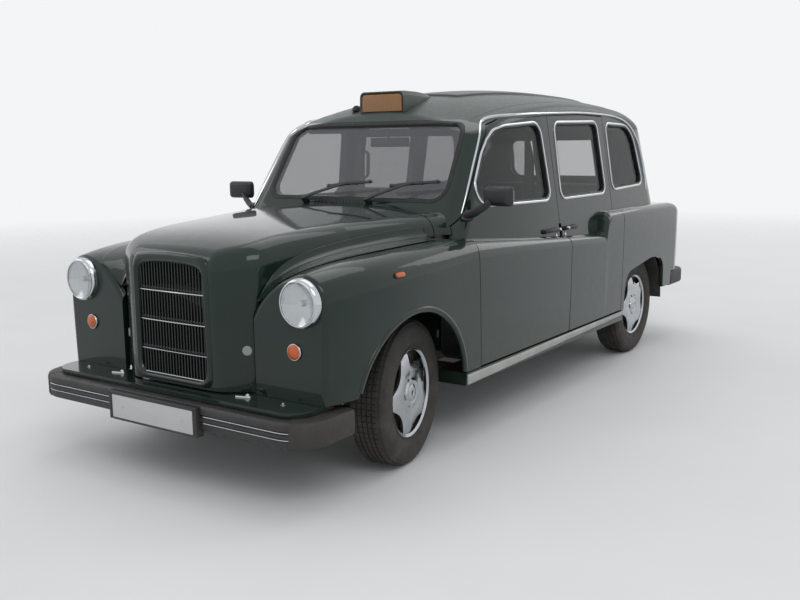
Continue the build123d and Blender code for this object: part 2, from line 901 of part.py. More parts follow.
def chassis():
    """Ladder frame with kicked-up rear rails and cross-members."""
    points = (
        (bumper_back_y, rail_low_z), (bumper_back_y, rail_high_z), (rear_axle_y - 360, rail_high_z),
        (rear_axle_y - 250, 520), (rear_axle_y + 250, 520), (rear_axle_y + 420, 470), (tail_y - 70, 470),
        (tail_y - 70, 390), (rear_axle_y + 400, 390), (rear_axle_y + 240, 440), (rear_axle_y - 220, 440),
        (rear_axle_y - 330, rail_low_z),
    )
    rail = side_prism(polygon(points), rail_x, rail_x + rail_width)
    members = [rail, other_side(rail)]
    for y in (front_y + 180, front_axle_y + 330, door_split_y - 200, rear_axle_y - 430):
        members.append(box(-rail_x, rail_x, y - 30, y + 30, rail_low_z + 8, rail_high_z - 15))
    for y in (front_axle_y + 520, door_split_y, spring_front_y - 25):
        members.append(box(-outrigger_x, outrigger_x, y - 25, y + 25, rail_low_z + 8, rail_high_z))
    members.append(box(-500, 500, spring_rear_y, spring_rear_y + 40, 335, 430))
    shaft_way = box(-50, 50, door_front_y, rear_axle_y - 240, tyre_radius - 38, rail_high_z + 10)
    gearbox_way = box(-130, 130, door_front_y, front_axle_y + gearbox_reach, 296, rail_high_z + 10)
    return members[0].fuse(*members[1:]) - shaft_way - gearbox_way


def arm(z_low, z_high):
    """Left suspension arm: a wide foot on the cross-member and a narrow end at the kingpin."""
    foot_x, neck_x, end_x = rail_x - 40, kingpin_x - 170, kingpin_x + 26
    plan = polygon(
        (
            (foot_x, front_axle_y - 130), (foot_x + 60, front_axle_y - 130),
            (neck_x, front_axle_y - 28), (end_x, front_axle_y - 28),
            (end_x, front_axle_y + 28), (neck_x, front_axle_y + 28),
            (foot_x + 60, front_axle_y + 130), (foot_x, front_axle_y + 130),
        )
    )
    window = polygon(
        (
            (foot_x + 74, front_axle_y - 88), (neck_x - 24, front_axle_y),
            (foot_x + 74, front_axle_y + 88),
        )
    )
    bore = Pos(kingpin_x, front_axle_y) * Circle(kingpin_radius + running_clearance)
    return plan_prism(plan - window - bore, z_low, z_high)


def front_suspension():
    """Cross-member with lower and upper arms on both sides."""
    low = tyre_radius - knuckle_half_height
    high = tyre_radius + knuckle_half_height
    beam = box(-rail_x + 45, rail_x - 45, front_axle_y - 90, front_axle_y + 90, low - 24, low + 60)
    left = arm(low - 28, low) + arm(high, high + 20)
    tower = box(rail_x - 60, rail_x - 2, front_axle_y - 60, front_axle_y + 60, low - 24, high + 24)
    half = left + tower
    return beam + half + other_side(half)


def leaf_spring():
    """Left leaf spring under the rear axle, a little arched."""
    low = ThreePointArc((spring_front_y, 318), (rear_axle_y, tyre_radius - 68), (spring_rear_y, 342))
    high = ThreePointArc((spring_rear_y, 366), (rear_axle_y, tyre_radius - 36), (spring_front_y, 342))
    front = Line((spring_front_y, 342), (spring_front_y, 318))
    rear = Line((spring_rear_y, 342), (spring_rear_y, 366))
    return side_prism(make_face([low, rear, high, front]), spring_x, spring_x + spring_width)


def rear_axle():
    """Live axle with its differential and leaf springs."""
    end_x = track / 2 - 95
    tube = rod_x(-end_x, end_x, rear_axle_y, tyre_radius, 42)
    stubs = rod_x(-track / 2 - 60, track / 2 + 60, rear_axle_y, tyre_radius, stub_radius)
    ball = Pos(0, rear_axle_y, tyre_radius) * Sphere(125)
    nose = Pos(0, rear_axle_y - 165, tyre_radius) * Rot(90, 0, 0) * Cylinder(50, 110)
    spring = leaf_spring()
    return tube + stubs + ball + nose + spring + other_side(spring)


def propeller_shaft():
    """Propeller shaft from the gearbox to the differential."""
    front = front_axle_y + gearbox_reach
    rear = rear_axle_y - 220
    middle = Pos(0, (front + rear) / 2, tyre_radius)
    return middle * Rot(90, 0, 0) * Cylinder(24, rear - front)


def engine():
    """Engine and gearbox as one plain block."""
    block = box(-190, 190, front_axle_y - 330, front_axle_y + 380, 385, 900)
    gearbox = box(-120, 120, front_axle_y + 380, front_axle_y + gearbox_reach, 300, 640)
    block = fillet(block.edges().filter_by(Axis.Z), 30)
    return block + fillet(gearbox.edges().filter_by(Axis.Y), 40)


def exhaust():
    """Exhaust pipe with its silencer, under the right of the floor."""
    pipe = Pos(-190, (rear_axle_y - 350 + front_axle_y + 400) / 2, 230)
    run = pipe * Rot(90, 0, 0) * Cylinder(24, rear_axle_y - 350 - front_axle_y - 400)
    box_y = door_split_y + 285
    silencer = Pos(-190, box_y, 230) * Rot(90, 0, 0) * Cylinder(70, 480)
    return run + silencer


def fuel_tank():
    """Flat fuel tank behind the rear axle."""
    return fillet(box(-260, 260, rear_axle_y + 260, tail_y - 190, 250, 385).edges(), 20)


def floor_pan():
    """Floor with its toe board, the riser under the rear bench and the boot floor."""
    low = rail_high_z + 2
    toe_y = bulkhead_y + 24
    riser_y = rear_axle_y - 380
    boot_end = tail_y - 76
    line = (
        (toe_y, low), (toe_y, 560), (toe_y + 14, 560), (toe_y + 90, floor_z), (riser_y, floor_z),
        (riser_y, boot_floor_z), (boot_end, boot_floor_z), (boot_end, boot_floor_z - 14),
        (riser_y + 14, boot_floor_z - 14), (riser_y + 14, low),
    )
    middle = side_prism(polygon(line), -590, 590)
    side = box(590, 740, toe_y + 110, rear_axle_y - wheelhouse_radius - 4, low, floor_z)
    tunnel = box(-tunnel_half_width, tunnel_half_width, toe_y - 10, front_axle_y + gearbox_reach + 20, 300, 600)
    return middle + side + other_side(side) - tunnel


def wheelhouse():
    """Left inner arch over the rear wheel."""
    centre = Pos(rear_axle_y, tyre_radius)
    disc = centre * Circle(wheelhouse_radius)
    ring = disc - centre * Circle(wheelhouse_radius - 12)
    below = centre * Pos(0, -400) * Rectangle(1000, 800)
    wall = disc - Pos(0, 60) * below
    return side_prism(ring - below, 596, body_half_width - wing_wall - swell_tuck) + side_prism(wall, 592, 604)


# Interior
seat_x = -375
partition_y = door_split_y - 60


def driver_seat():
    """Driver's cushion and backrest, on the cab's right."""
    y = partition_y - 60
    cushion = box(seat_x - 235, seat_x + 235, y - 510, y - 60, 560, 690)
    back = polygon(((y - 70, 700), (y - 15, 1190), (y + 50, 1190), (y + 30, 600), (y - 40, 600)))
    rest = side_prism(back, seat_x - 225, seat_x + 225)
    pads = [fillet(cushion.edges(), 30), fillet(rest.edges().filter_by(Axis.X), 20)]
    return Compound(children=pads)


def seat_base():
    """Box under the driver's seat."""
    y = partition_y - 60
    return box(seat_x - 200, seat_x + 200, y - 490, y - 80, floor_z, 556)


def rear_bench():
    """Rear bench: cushion and backrest, the full width between the wheel arches."""
    cushion = box(-585, 585, rear_axle_y - 370, rear_axle_y + 110, 645, 790)
    back = polygon(
        (
            (rear_axle_y + 130, 645), (rear_axle_y + 118, 800), (rear_axle_y + 210, 1150),
            (rear_axle_y + 290, 1150), (rear_axle_y + 260, 645),
        )
    )
    return Compound(children=[fillet(cushion.edges(), 30), side_prism(back, -585, 585)])


def partition():
    """Partition behind the driver, open at its upper half for glass."""
    y = partition_y
    panel = box(-640, 640, y, y + 28, floor_z, 1560)
    opening = box(-590, 590, y - 10, y + 40, 1120, 1510)
    notch = front_prism(polygon(((700, 1130), (580, 1600), (700, 1600))), y - 10, y + 40)
    return panel - opening - notch - other_side(notch)


def partition_glass():
    """Glass of the partition, within its frame."""
    y = partition_y + 11
    pane = box(-590, 590, y, y + 6, 1120, 1510)
    notch = front_prism(polygon(((700, 1130), (580, 1600), (700, 1600))), y - 10, y + 40)
    return pane - notch - other_side(notch)


def jump_seats():
    """Two folding seats, stowed against the partition."""
    y = partition_y + 28
    pads = []
    for x in (-300, 300):
        pad = box(x - 190, x + 190, y + 4, y + 84, 470, 860)
        pads.append(fillet(pad.edges(), 18))
    return Compound(children=pads)


def dash():
    """Dash across the cabin, under the windscreen."""
    y = bulkhead_y + 24
    outline = (
        (y, 900), (y, 1000), (y + 62, 1008), (y + 140, 1118), (y + 230, 1118),
        (y + 280, 1080), (y + 250, 930), (y + 160, 872),
    )
    return side_prism(polygon(outline, 12), -618, 618)


wheel_centre = (seat_x, door_front_y + 440, 985)
wheel_tilt = 62


def steering_wheel():
    """Steering wheel with its column, in front of the driver."""
    rim = Torus(205, 13)
    hub = Cylinder(42, 40)
    spokes = Box(400, 26, 12) + Box(26, 200, 12).moved(Location((0, -100, 0)))
    column = Pos(0, 0, -160) * Cylinder(24, 300)
    whole = Pos(*wheel_centre) * Rot(-wheel_tilt, 0, 0) * (rim + hub + spokes + column)
    return (whole - dash()).solids().sort_by(SortBy.VOLUME)[-1]


# Outside fittings
headlamp_x = 688
headlamp_z = 841
headlamp_radius = 104


def headlamp():
    """Left headlamp: bowl, bright rim and domed lens."""
    y = pod_y
    rim = Pos(headlamp_x, y - 14, headlamp_z) * Rot(90, 0, 0) * Cylinder(headlamp_radius, 28)
    rim = fillet(rim.edges().sort_by(Axis.Y)[0], 12)
    dome_radius = 210
    rise = 24
    centre_y = y - 28 - rise + dome_radius
    dome = Pos(headlamp_x, centre_y, headlamp_z) * Sphere(dome_radius)
    lens = dome & (Pos(headlamp_x, y - 40, headlamp_z) * Rot(90, 0, 0) * Cylinder(88, 40))
    return rim + lens


def indicator():
    """Left front indicator."""
    base = Pos(643, pod_y - 10, 636) * Rot(90, 0, 0) * Cylinder(30, 20)
    return fillet(base.edges().sort_by(Axis.Y)[0], 8)


def tail_lamp():
    """Left tail lamp, upright on the wing's tail."""
    lamp = box(600, 680, tail_y, tail_y + 32, 620, 860)
    return fillet(lamp.edges().filter_by(Axis.Y), 14)


def bumper(face_y, reach, length, low, high):
    """A wrap-round bumper: its face, half-width, how far its ends reach back and its heights."""
    heading = 1 if face_y < 0 else -1
    end_y = face_y + heading * length
    back_y = face_y + heading * bumper_wall
    inner = reach - 60
    plan = polygon(
        (
            (reach, end_y), (reach, face_y), (-reach, face_y), (-reach, end_y),
            (-inner, end_y), (-inner, back_y), (inner, back_y), (inner, end_y),
        )
    )
    plan = fillet([v for v in plan.vertices() if abs(v.Y - face_y) < 1], 175)
    plan = fillet([v for v in plan.vertices() if abs(v.Y - back_y) < 1], 110)
    return plan_prism(plan, low, high)


def front_bumper():
    """Front bumper with its wrapped ends."""
    return bumper(bumper_back_y - bumper_wall, body_half_width - 18, 320, bumper_low_z, bumper_high_z)


def rear_bumper():
    """Rear bumper with two brackets to the chassis."""
    bar = bumper(rear_y, body_half_width - 6, rear_y - rear_bumper_end_y, rear_bumper_low_z, rear_bumper_high_z)
    back_y = rear_y - bumper_wall
    bracket = box(rail_x, rail_x + rail_width, tail_y - 70, back_y + 20, 392, 414)
    return bar + bracket + other_side(bracket)


def front_apron():
    """Painted shelf between the front bumper and the nose."""
    low = bumper_high_z + 2
    shelf = box(-780, 780, bumper_back_y - 40, pod_y + 20, low, nose_bottom_z - 6)
    front = shelf.edges().filter_by(Axis.Z).group_by(Axis.Y)[0]
    return fillet(front, 110)


def front_plate():
    """Blank front number plate with its back panel."""
    return box(-260, 260, front_y, bumper_back_y - bumper_wall, 272, 383)


def roof_sign():
    """Blank roof sign: a short lamp box that tapers to the rear."""
    y = windscreen_foot_y + 302
    low = 1620
    outline = polygon(((y, low), (y - 6, 1742), (y + 30, 1756), (y + 330, 1752), (y + 360, 1700)))
    plan = polygon(((-155, y - 10), (155, y - 10), (118, y + 360), (-118, y + 360)), 24)
    sign = side_prism(outline, -200, 200) & plan_prism(plan, low - 10, 1800)
    return sign - cabin()


def mirror_and_handle():
    """Black door mirror and handle of the left front door."""
    head = fillet(box(790, 958, door_front_y + 138, door_front_y + 206, 1155, 1257).edges(), 20)
    stalk = box(745, 826, door_front_y + 104, door_front_y + 150, 1096, 1170)
    return head + stalk


def all_nodes():
    """Every node by name."""
    side = body_side() - inner_void()
    wall = shell()
    sheet = glass_sheet()
    nodes = {}
    front = door(side, front_door_outline(), front_window_outline())
    rear = door(side, rear_door_outline(), rear_window_outline())
    front_glass = sheet & side_prism(front_window_outline(), 500, clear_x)
    rear_glass = sheet & side_prism(rear_window_outline(), 500, clear_x)
    fittings = mirror_and_handle() - front
    for name, solid in (
        ("front_door", front), ("rear_door", rear), ("front_door_glass", front_glass),
        ("rear_door_glass", rear_glass), ("door_mirror", fittings),
    ):
        nodes[name + "_left"] = solid
        nodes[name + "_right"] = other_side(solid)
    quarter = sheet & side_prism(quarter_window_outline(), 500, clear_x)
    screen = sheet & front_prism(windscreen_outline(), front_y, door_split_y - 300)
    back = sheet & front_prism(back_window_outline(), rear_axle_y, rear_y)
    nodes["fixed_glass"] = Compound(
        children=[*screen.solids(), *back.solids(), *quarter.solids(), *other_side(quarter).solids()]
    )
    nodes["front_wings"] = both_sides(front_wing())
    nodes["rear_wings"] = both_sides(rear_wing())
    nodes["roof_panel"] = roof_panel(wall)
    nodes["windscreen_frame"] = windscreen_frame(wall)
    nodes["rear_body"] = rear_body(wall)
    nodes["centre_posts"] = both_sides(centre_post())
    nodes["sills"] = both_sides(sill())
    nodes["bonnet"] = bonnet()
    nodes["grille"] = grille()
    nodes["scuttle"] = scuttle()
    nodes["boot_lid"] = boot_lid()
    nodes["tail_panel"] = tail_panel()
    for name, piece in (("tyre", tyre()), ("wheel", wheel())):
        front_piece = place_wheel(piece, front_axle_y)
        rear_piece = place_wheel(piece, rear_axle_y)
        nodes["front_" + name + "_left"] = steer(front_piece)
        nodes["front_" + name + "_right"] = steer(other_side(front_piece), -1)
        nodes["rear_" + name + "_left"] = rear_piece
        nodes["rear_" + name + "_right"] = other_side(rear_piece)
    nodes["knuckle_left"] = steer(knuckle())
    nodes["knuckle_right"] = steer(other_side(knuckle()), -1)
    nodes["chassis"] = chassis()
    nodes["front_suspension"] = front_suspension()
    nodes["rear_axle"] = rear_axle()
    nodes["propeller_shaft"] = propeller_shaft()
    nodes["engine"] = engine()
    nodes["exhaust"] = exhaust()
    nodes["fuel_tank"] = fuel_tank()
    nodes["floor_pan"] = floor_pan()
    nodes["wheelhouses"] = both_sides(wheelhouse())
    nodes["driver_seat"] = driver_seat()
    nodes["seat_base"] = seat_base()
    nodes["rear_bench"] = rear_bench()
    nodes["partition"] = partition()
    nodes["partition_glass"] = partition_glass()
    nodes["jump_seats"] = jump_seats()
    nodes["dash"] = dash()
    nodes["steering_wheel"] = steering_wheel()
    nodes["headlamps"] = both_sides(headlamp())
    nodes["front_indicators"] = both_sides(indicator())
    nodes["tail_lamps"] = both_sides(tail_lamp())
    nodes["front_bumper"] = front_bumper()
    nodes["rear_bumper"] = rear_bumper()
    nodes["front_apron"] = front_apron()
    nodes["front_plate"] = front_plate()
    nodes["roof_sign"] = roof_sign()
    return nodes


if __name__ == "__main__":
    os.makedirs("parts", exist_ok=True)
    for node_name, node_solid in all_nodes().items():
        export_step(node_solid, "parts/" + node_name + ".step")
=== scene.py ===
"""Looks of a four-door taxi cab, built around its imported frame.

Lengths are in metres. X points to the cab's left, Y to its rear and Z up.
"""

import logging
import math
from dataclasses import dataclass
from enum import Enum
from typing import Callable, Iterable, Optional, Sequence

import bmesh
import bpy
from mathutils import Matrix, Vector
from mathutils.bvhtree import BVHTree


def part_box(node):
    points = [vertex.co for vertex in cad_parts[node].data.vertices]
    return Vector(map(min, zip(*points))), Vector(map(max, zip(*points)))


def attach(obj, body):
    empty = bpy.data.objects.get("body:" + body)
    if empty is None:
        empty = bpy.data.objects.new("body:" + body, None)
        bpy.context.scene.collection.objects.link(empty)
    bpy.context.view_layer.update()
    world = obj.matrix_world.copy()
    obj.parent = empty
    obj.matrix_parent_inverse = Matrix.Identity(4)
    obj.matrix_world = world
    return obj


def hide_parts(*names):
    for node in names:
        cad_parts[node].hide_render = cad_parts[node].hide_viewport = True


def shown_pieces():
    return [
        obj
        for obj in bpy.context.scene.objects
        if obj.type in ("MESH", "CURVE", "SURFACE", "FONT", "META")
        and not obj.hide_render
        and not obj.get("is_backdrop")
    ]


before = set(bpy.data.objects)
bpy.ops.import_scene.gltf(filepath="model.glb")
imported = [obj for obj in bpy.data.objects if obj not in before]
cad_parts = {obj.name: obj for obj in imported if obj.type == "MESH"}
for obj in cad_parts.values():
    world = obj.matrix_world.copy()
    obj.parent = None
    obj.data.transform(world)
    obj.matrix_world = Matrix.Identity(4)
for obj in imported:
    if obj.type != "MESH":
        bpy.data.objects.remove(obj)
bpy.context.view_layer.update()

log = logging.getLogger("scene")

Point2 = tuple[float, float]
MM = 0.001

# Places that the pieces share with the frame
FRONT_AXLE_Y = -1.440
REAR_AXLE_Y = 1.370
AXLE_Z = 0.338
WHEEL_X = 0.705
STEER_PIN_X = 0.650
PARKED_STEER = math.radians(10)
SEAT_X = -0.375
PARTITION_Y = 0.060
LEFT, RIGHT = 1, -1
SIDE_NAMES = {LEFT: "left", RIGHT: "right"}


class Body(Enum):
    """Bodies of the frame that pieces ride on."""

    CAB = "cab_body"
    BONNET = "bonnet_body"
    FRONT_DOOR = "front_door"
    REAR_DOOR = "rear_door"
    FRONT_WHEEL = "front_wheel"
    REAR_WHEEL = "rear_wheel"

    def on(self, side: int = LEFT) -> str:
        """The body's name in the frame.

        Args:
            side: LEFT or RIGHT, for a body that comes in pairs.

        Returns:
            The full name.
        """
        if self in (Body.CAB, Body.BONNET):
            return self.value
        return f"{self.value}_{SIDE_NAMES[side]}_body"


class Grain(Enum):
    """Surface patterns of the finishes."""

    SMOOTH = "smooth"
    ORANGE_PEEL = "orange_peel"
    LEATHER = "leather"
    RIBBED = "ribbed"
    BRUSHED = "brushed"
    WEAVE = "weave"
    CAST = "cast"
    FLUTED = "fluted"


@dataclass(frozen=True)
class Finish:
    """What a surface is made of, with its pattern's sizes in millimetres.

    Attributes:
        name: material name.
        slot: the record's material slot that it stands for.
        colour: sRGB hex colour.
        second: sRGB hex colour of the mottling or wear.
        roughness: middle roughness.
        spread: how far roughness varies either way.
        metallic: metallic share.
        grain: surface pattern.
        pitch: size of the pattern.
        depth: height of the pattern.
        mottle: size of the colour variation.
        mottling: share of the second colour at most.
        coat: clear coat weight.
        sheen: sheen weight.
        alpha: opacity.
        glow: emission strength, painted light on a surface that is no lit lamp.
        glow_colour: sRGB hex colour of the emission, where it isn't the colour.
        specular: specular level under the coat.
        coat_ior: refractive index of the coat.
        dust: share of road dust low on the piece.
    """

    name: str
    slot: str
    colour: str
    second: str
    roughness: float
    spread: float = 0.06
    metallic: float = 0.0
    grain: Grain = Grain.SMOOTH
    pitch: float = 1.0
    depth: float = 0.1
    mottle: float = 120.0
    mottling: float = 0.35
    coat: float = 0.0
    sheen: float = 0.0
    alpha: float = 1.0
    glow: float = 0.0
    glow_colour: str = ""
    specular: float = 0.5
    coat_ior: float = 1.5
    dust: float = 0.0


# Cellulose paint, sprayed and polished: nearly black until the light grazes it, with a faint orange peel
PAINT = Finish("paint_dark_green", "body_paint", "#0b211b", "#081a15", 0.34, 0.03, 0.0, Grain.ORANGE_PEEL, 5,
               0.006,
               260, 0.6, coat=1.0, specular=0.10, coat_ior=1.40, dust=0.07)
# Grained vinyl, stretched over the roof: duller and greyer than the paint below it
ROOF = Finish("roof_covering", "roof_covering", "#303c38", "#283330", 0.44, 0.06, 0.0, Grain.LEATHER, 2.2,
              0.05, 90,
              0.5, coat=0.12)
# Tinted float glass: smooth, so it shows the cabin darker and the light's edge sharp
GLASS = Finish("window_glass", "glass", "#1b2422", "#222b29", 0.02, 0.01, alpha=0.22, coat=1.0, mottling=0.3)
# Painted reflection of the sky on the windscreen: a pale glowing sheet, which also pales what lies behind it
SKY_REFLECTION_SHEET = Finish("painted_sky_reflection", "glass", "#000000", "#000000", 0.5, 0.05, alpha=0.40, specular=0.0,
              glow=0.30,
              glow_colour="#e6ebf2")
# Moulded rubber: matt, with a soft edge light
RUBBER = Finish("black_rubber", "black_plastic", "#101112", "#1b1c1d", 0.62, 0.08, grain=Grain.CAST,
                pitch=1.1,
                depth=0.05)
# Moulded ABS: dark grey with a dull shine
PLASTIC = Finish("black_plastic", "black_plastic", "#1c1c1e", "#27272a", 0.48, 0.07, grain=Grain.CAST,
                 pitch=0.9,
                 depth=0.05, dust=0.12)
# Moulded polypropylene, weathered: browner and duller than the bar beside it
END_CAP = Finish("end_cap_plastic", "black_plastic", "#272423", "#312d2b", 0.55, 0.06, grain=Grain.CAST,
                 pitch=0.9,
                 depth=0.06, dust=0.1)
# Chromed brass and steel: mirrors the studio, a little wavy
CHROME = Finish("bright_trim", "bright_trim", "#c9ccd0", "#aeb2b6", 0.10, 0.05, 1.0, Grain.CAST, 26, 0.03,
                60, 0.4)
# Extruded aluminium, ribbed along its length: bright lines with grey between
SILL = Finish("ribbed_aluminium", "sill_metal", "#b4b5b2", "#8d8e8b", 0.34, 0.08, 1.0, Grain.RIBBED, 5.5,
              0.9, 140,
              0.5)
# Vulcanised tyre rubber, worn: matt, browned by road dust
TYRE = Finish("tyre_rubber", "tyre", "#141414", "#252321", 0.78, 0.08, grain=Grain.CAST, pitch=1.6,
              depth=0.08,
              mottle=50, mottling=0.6, dust=0.25)
# Pressed and polished steel: bright, with soft waves from the press
TRIM = Finish("wheel_trim_metal", "wheel_metal", "#bfc2c6", "#9a9da0", 0.13, 0.06, 1.0, Grain.CAST, 14, 0.04,
              40,
              0.4)
# Brushed-on chassis paint: matt black with dried road dirt
CHASSIS = Finish("chassis_black", "chassis_black", "#151617", "#2c2723", 0.66, 0.1, grain=Grain.CAST, pitch=3,
                 depth=0.2, dust=0.35)
# Cast and forged iron under old paint: dark, rough and rusty in patches
GEAR = Finish("running_gear", "chassis_black", "#26282a", "#4a3a2c", 0.58, 0.12, 0.5, Grain.CAST, 4, 0.3, 60,
              0.6,
              dust=0.3)
# Rolled steel tube, blued and rusted by heat: brown stains on dull grey
STEEL = Finish("exhaust_steel", "chassis_black", "#6b6760", "#5a3f2b", 0.45, 0.12, 0.9, Grain.BRUSHED, 2,
               0.05, 80,
               0.7)
# Embossed vinyl on foam: dark, with a low shine along its creases
SEAT = Finish("seat_vinyl", "seat_cover", "#3a3a3d", "#2e2e31", 0.47, 0.08, grain=Grain.LEATHER, pitch=2.6,
              depth=0.12, mottle=70, sheen=0.15)
# Embossed vinyl on board: a dull wine red
MAROON = Finish("maroon_trim", "seat_cover", "#4b1f1d", "#3b1715", 0.55, 0.08, grain=Grain.LEATHER, pitch=2.4,
                depth=0.1, mottle=90)
# Looped nylon carpet: no shine, flecked by its loops
CARPET = Finish("floor_carpet", "seat_cover", "#26262a", "#34343a", 0.95, 0.03, grain=Grain.WEAVE, pitch=3.2,
                depth=0.8, mottle=30, mottling=0.7, sheen=0.4)
# Knitted lining cloth: pale and flat
HEADLINING = Finish("headlining", "seat_cover", "#8d8b84", "#7d7b74", 0.85, 0.05, grain=Grain.WEAVE,
                    pitch=2.0,
                    depth=0.1)
# Pressed clear glass, fluted behind: breaks the dish into upright streaks
LENS = Finish("lamp_lens", "lamp_lens", "#e8ecee", "#d9dee0", 0.05, 0.02, grain=Grain.FLUTED, pitch=11,
              depth=1.1,
              alpha=0.16, coat=1.0)
# Aluminium vapour on a pressed dish: a slightly wavy mirror
REFLECTOR = Finish("lamp_reflector", "bright_trim", "#b9bdc0", "#a3a7aa", 0.12, 0.04, 1.0, Grain.CAST, 22,
                   0.4, 40)
# Moulded acrylic, amber: deep colour with fine flutes, and a faint painted glow though the lamp is unlit
AMBER = Finish("amber_lens", "lamp_lens", "#b9540a", "#9c4406", 0.16, 0.04, grain=Grain.FLUTED, pitch=5,
               depth=0.5,
               coat=0.35, glow=0.05)
# Moulded nylon, silvered: a plain grey disc
PLUG = Finish("grey_plug", "bright_trim", "#8f9294", "#7f8284", 0.42, 0.06, 0.4, Grain.CAST, 2, 0.03, 30, 0.4)
# Moulded acrylic, red: dark until the light crosses its flutes
RED = Finish("red_lens", "lamp_lens", "#8f0d0c", "#6c0807", 0.15, 0.04, grain=Grain.FLUTED, pitch=5,
             depth=0.4,
             coat=1.0)
# Moulded acrylic, unlit: the dark housing behind it turns its amber brown
SIGN = Finish("sign_lens", "lamp_lens", "#8a5a1e", "#6f4413", 0.24, 0.05, grain=Grain.FLUTED, pitch=16,
              depth=0.5,
              coat=0.6)
# Pressed aluminium plate, reflective sheet: pale grey, a little glossy
PLATE = Finish("blank_plate", "plate", "#b9bab9", "#a9aaa9", 0.38, 0.06, grain=Grain.CAST, pitch=2,
               depth=0.02,
               coat=0.3)
# Moulded ABS, dyed in the mass: a clear signal orange
ORANGE = Finish("grab_orange", "lamp_lens", "#c8461a", "#a83610", 0.4, 0.05, grain=Grain.CAST, pitch=1.2,
                depth=0.04)
# Sprayed steel slats: the body's green, darker and dusty between them
GRILLE = Finish("grille_dark", "black_plastic", "#16201d", "#0e1513", 0.34, 0.06, 0.3, Grain.ORANGE_PEEL, 3,
                0.02,
                60, 0.5, coat=0.5, dust=0.1)
# Silvered glass: a clean mirror with no grain of its own
MIRROR = Finish("mirror_glass", "glass", "#d5dade", "#c9ced2", 0.03, 0.01, 1.0, mottle=80)

# Each node's finish, by the node's name without its side
NODE_FINISHES: dict[str, Finish] = {
    node: finish
    for finish, nodes in (
        (PAINT, "front_door rear_door front_wings rear_wings bonnet scuttle boot_lid tail_panel front_apron"
                " rear_body windscreen_frame sills"),
        (ROOF, "roof_panel"),
        (PLASTIC, "centre_posts partition dash steering_wheel front_bumper rear_bumper roof_sign"
                  " door_mirror"),
        (GLASS, "front_door_glass rear_door_glass fixed_glass partition_glass"),
        (GRILLE, "grille"),
        (TYRE, "front_tyre rear_tyre"),
        (TRIM, "front_wheel rear_wheel"),
        (GEAR, "knuckle front_suspension rear_axle propeller_shaft engine"),
        (CHASSIS, "chassis fuel_tank wheelhouses seat_base"),
        (STEEL, "exhaust"),
        (CARPET, "floor_pan"),
        (SEAT, "driver_seat rear_bench jump_seats"),
        (CHROME, "headlamps"),
        (AMBER, "front_indicators"),
        (RED, "tail_lamps"),
        (PLATE, "front_plate"),
    )
    for node in nodes.split()
}


# Materials

# A colour mix's inputs and output by number, and the part of a wave texture's scale that gives one ridge
MIX_A, MIX_B, MIX_OUT = 6, 7, 2
WAVE_RUN = 0.31416


def linear(colour: str) -> tuple[float, float, float, float]:
    """Turn an sRGB hex colour into a linear one.

    Args:
        colour: a colour such as "#10261f".

    Returns:
        Red, green, blue and an alpha of one.
    """
    channels = [int(colour[i : i + 2], 16) / 255 for i in (1, 3, 5)]
    curved = [c / 12.92 if c <= 0.04045 else ((c + 0.055) / 1.055) ** 2.4 for c in channels]
    return (*curved, 1.0)


def wire(tree: bpy.types.NodeTree, kind: str, out: Optional[str | int], inputs: dict,
         **settings) -> Optional[bpy.types.NodeSocket]:
    """Add a node with its settings and links.

    Args:
        tree: the node tree.
        kind: the node's type, after ShaderNode.
        out: the output that is used next, by name or number.
        inputs: values, or sockets to link from, by the input's name or number.
        **settings: the node's own settings.

    Returns:
        That output, or None where the node ends the tree.
    """
    node = tree.nodes.new(f"ShaderNode{kind}")
    for name, value in settings.items():
        setattr(node, name, value)
    for key, value in inputs.items():
        if isinstance(value, bpy.types.NodeSocket):
            tree.links.new(value, node.inputs[key])
        else:
            node.inputs[key].default_value = value
    return None if out is None else node.outputs[out]


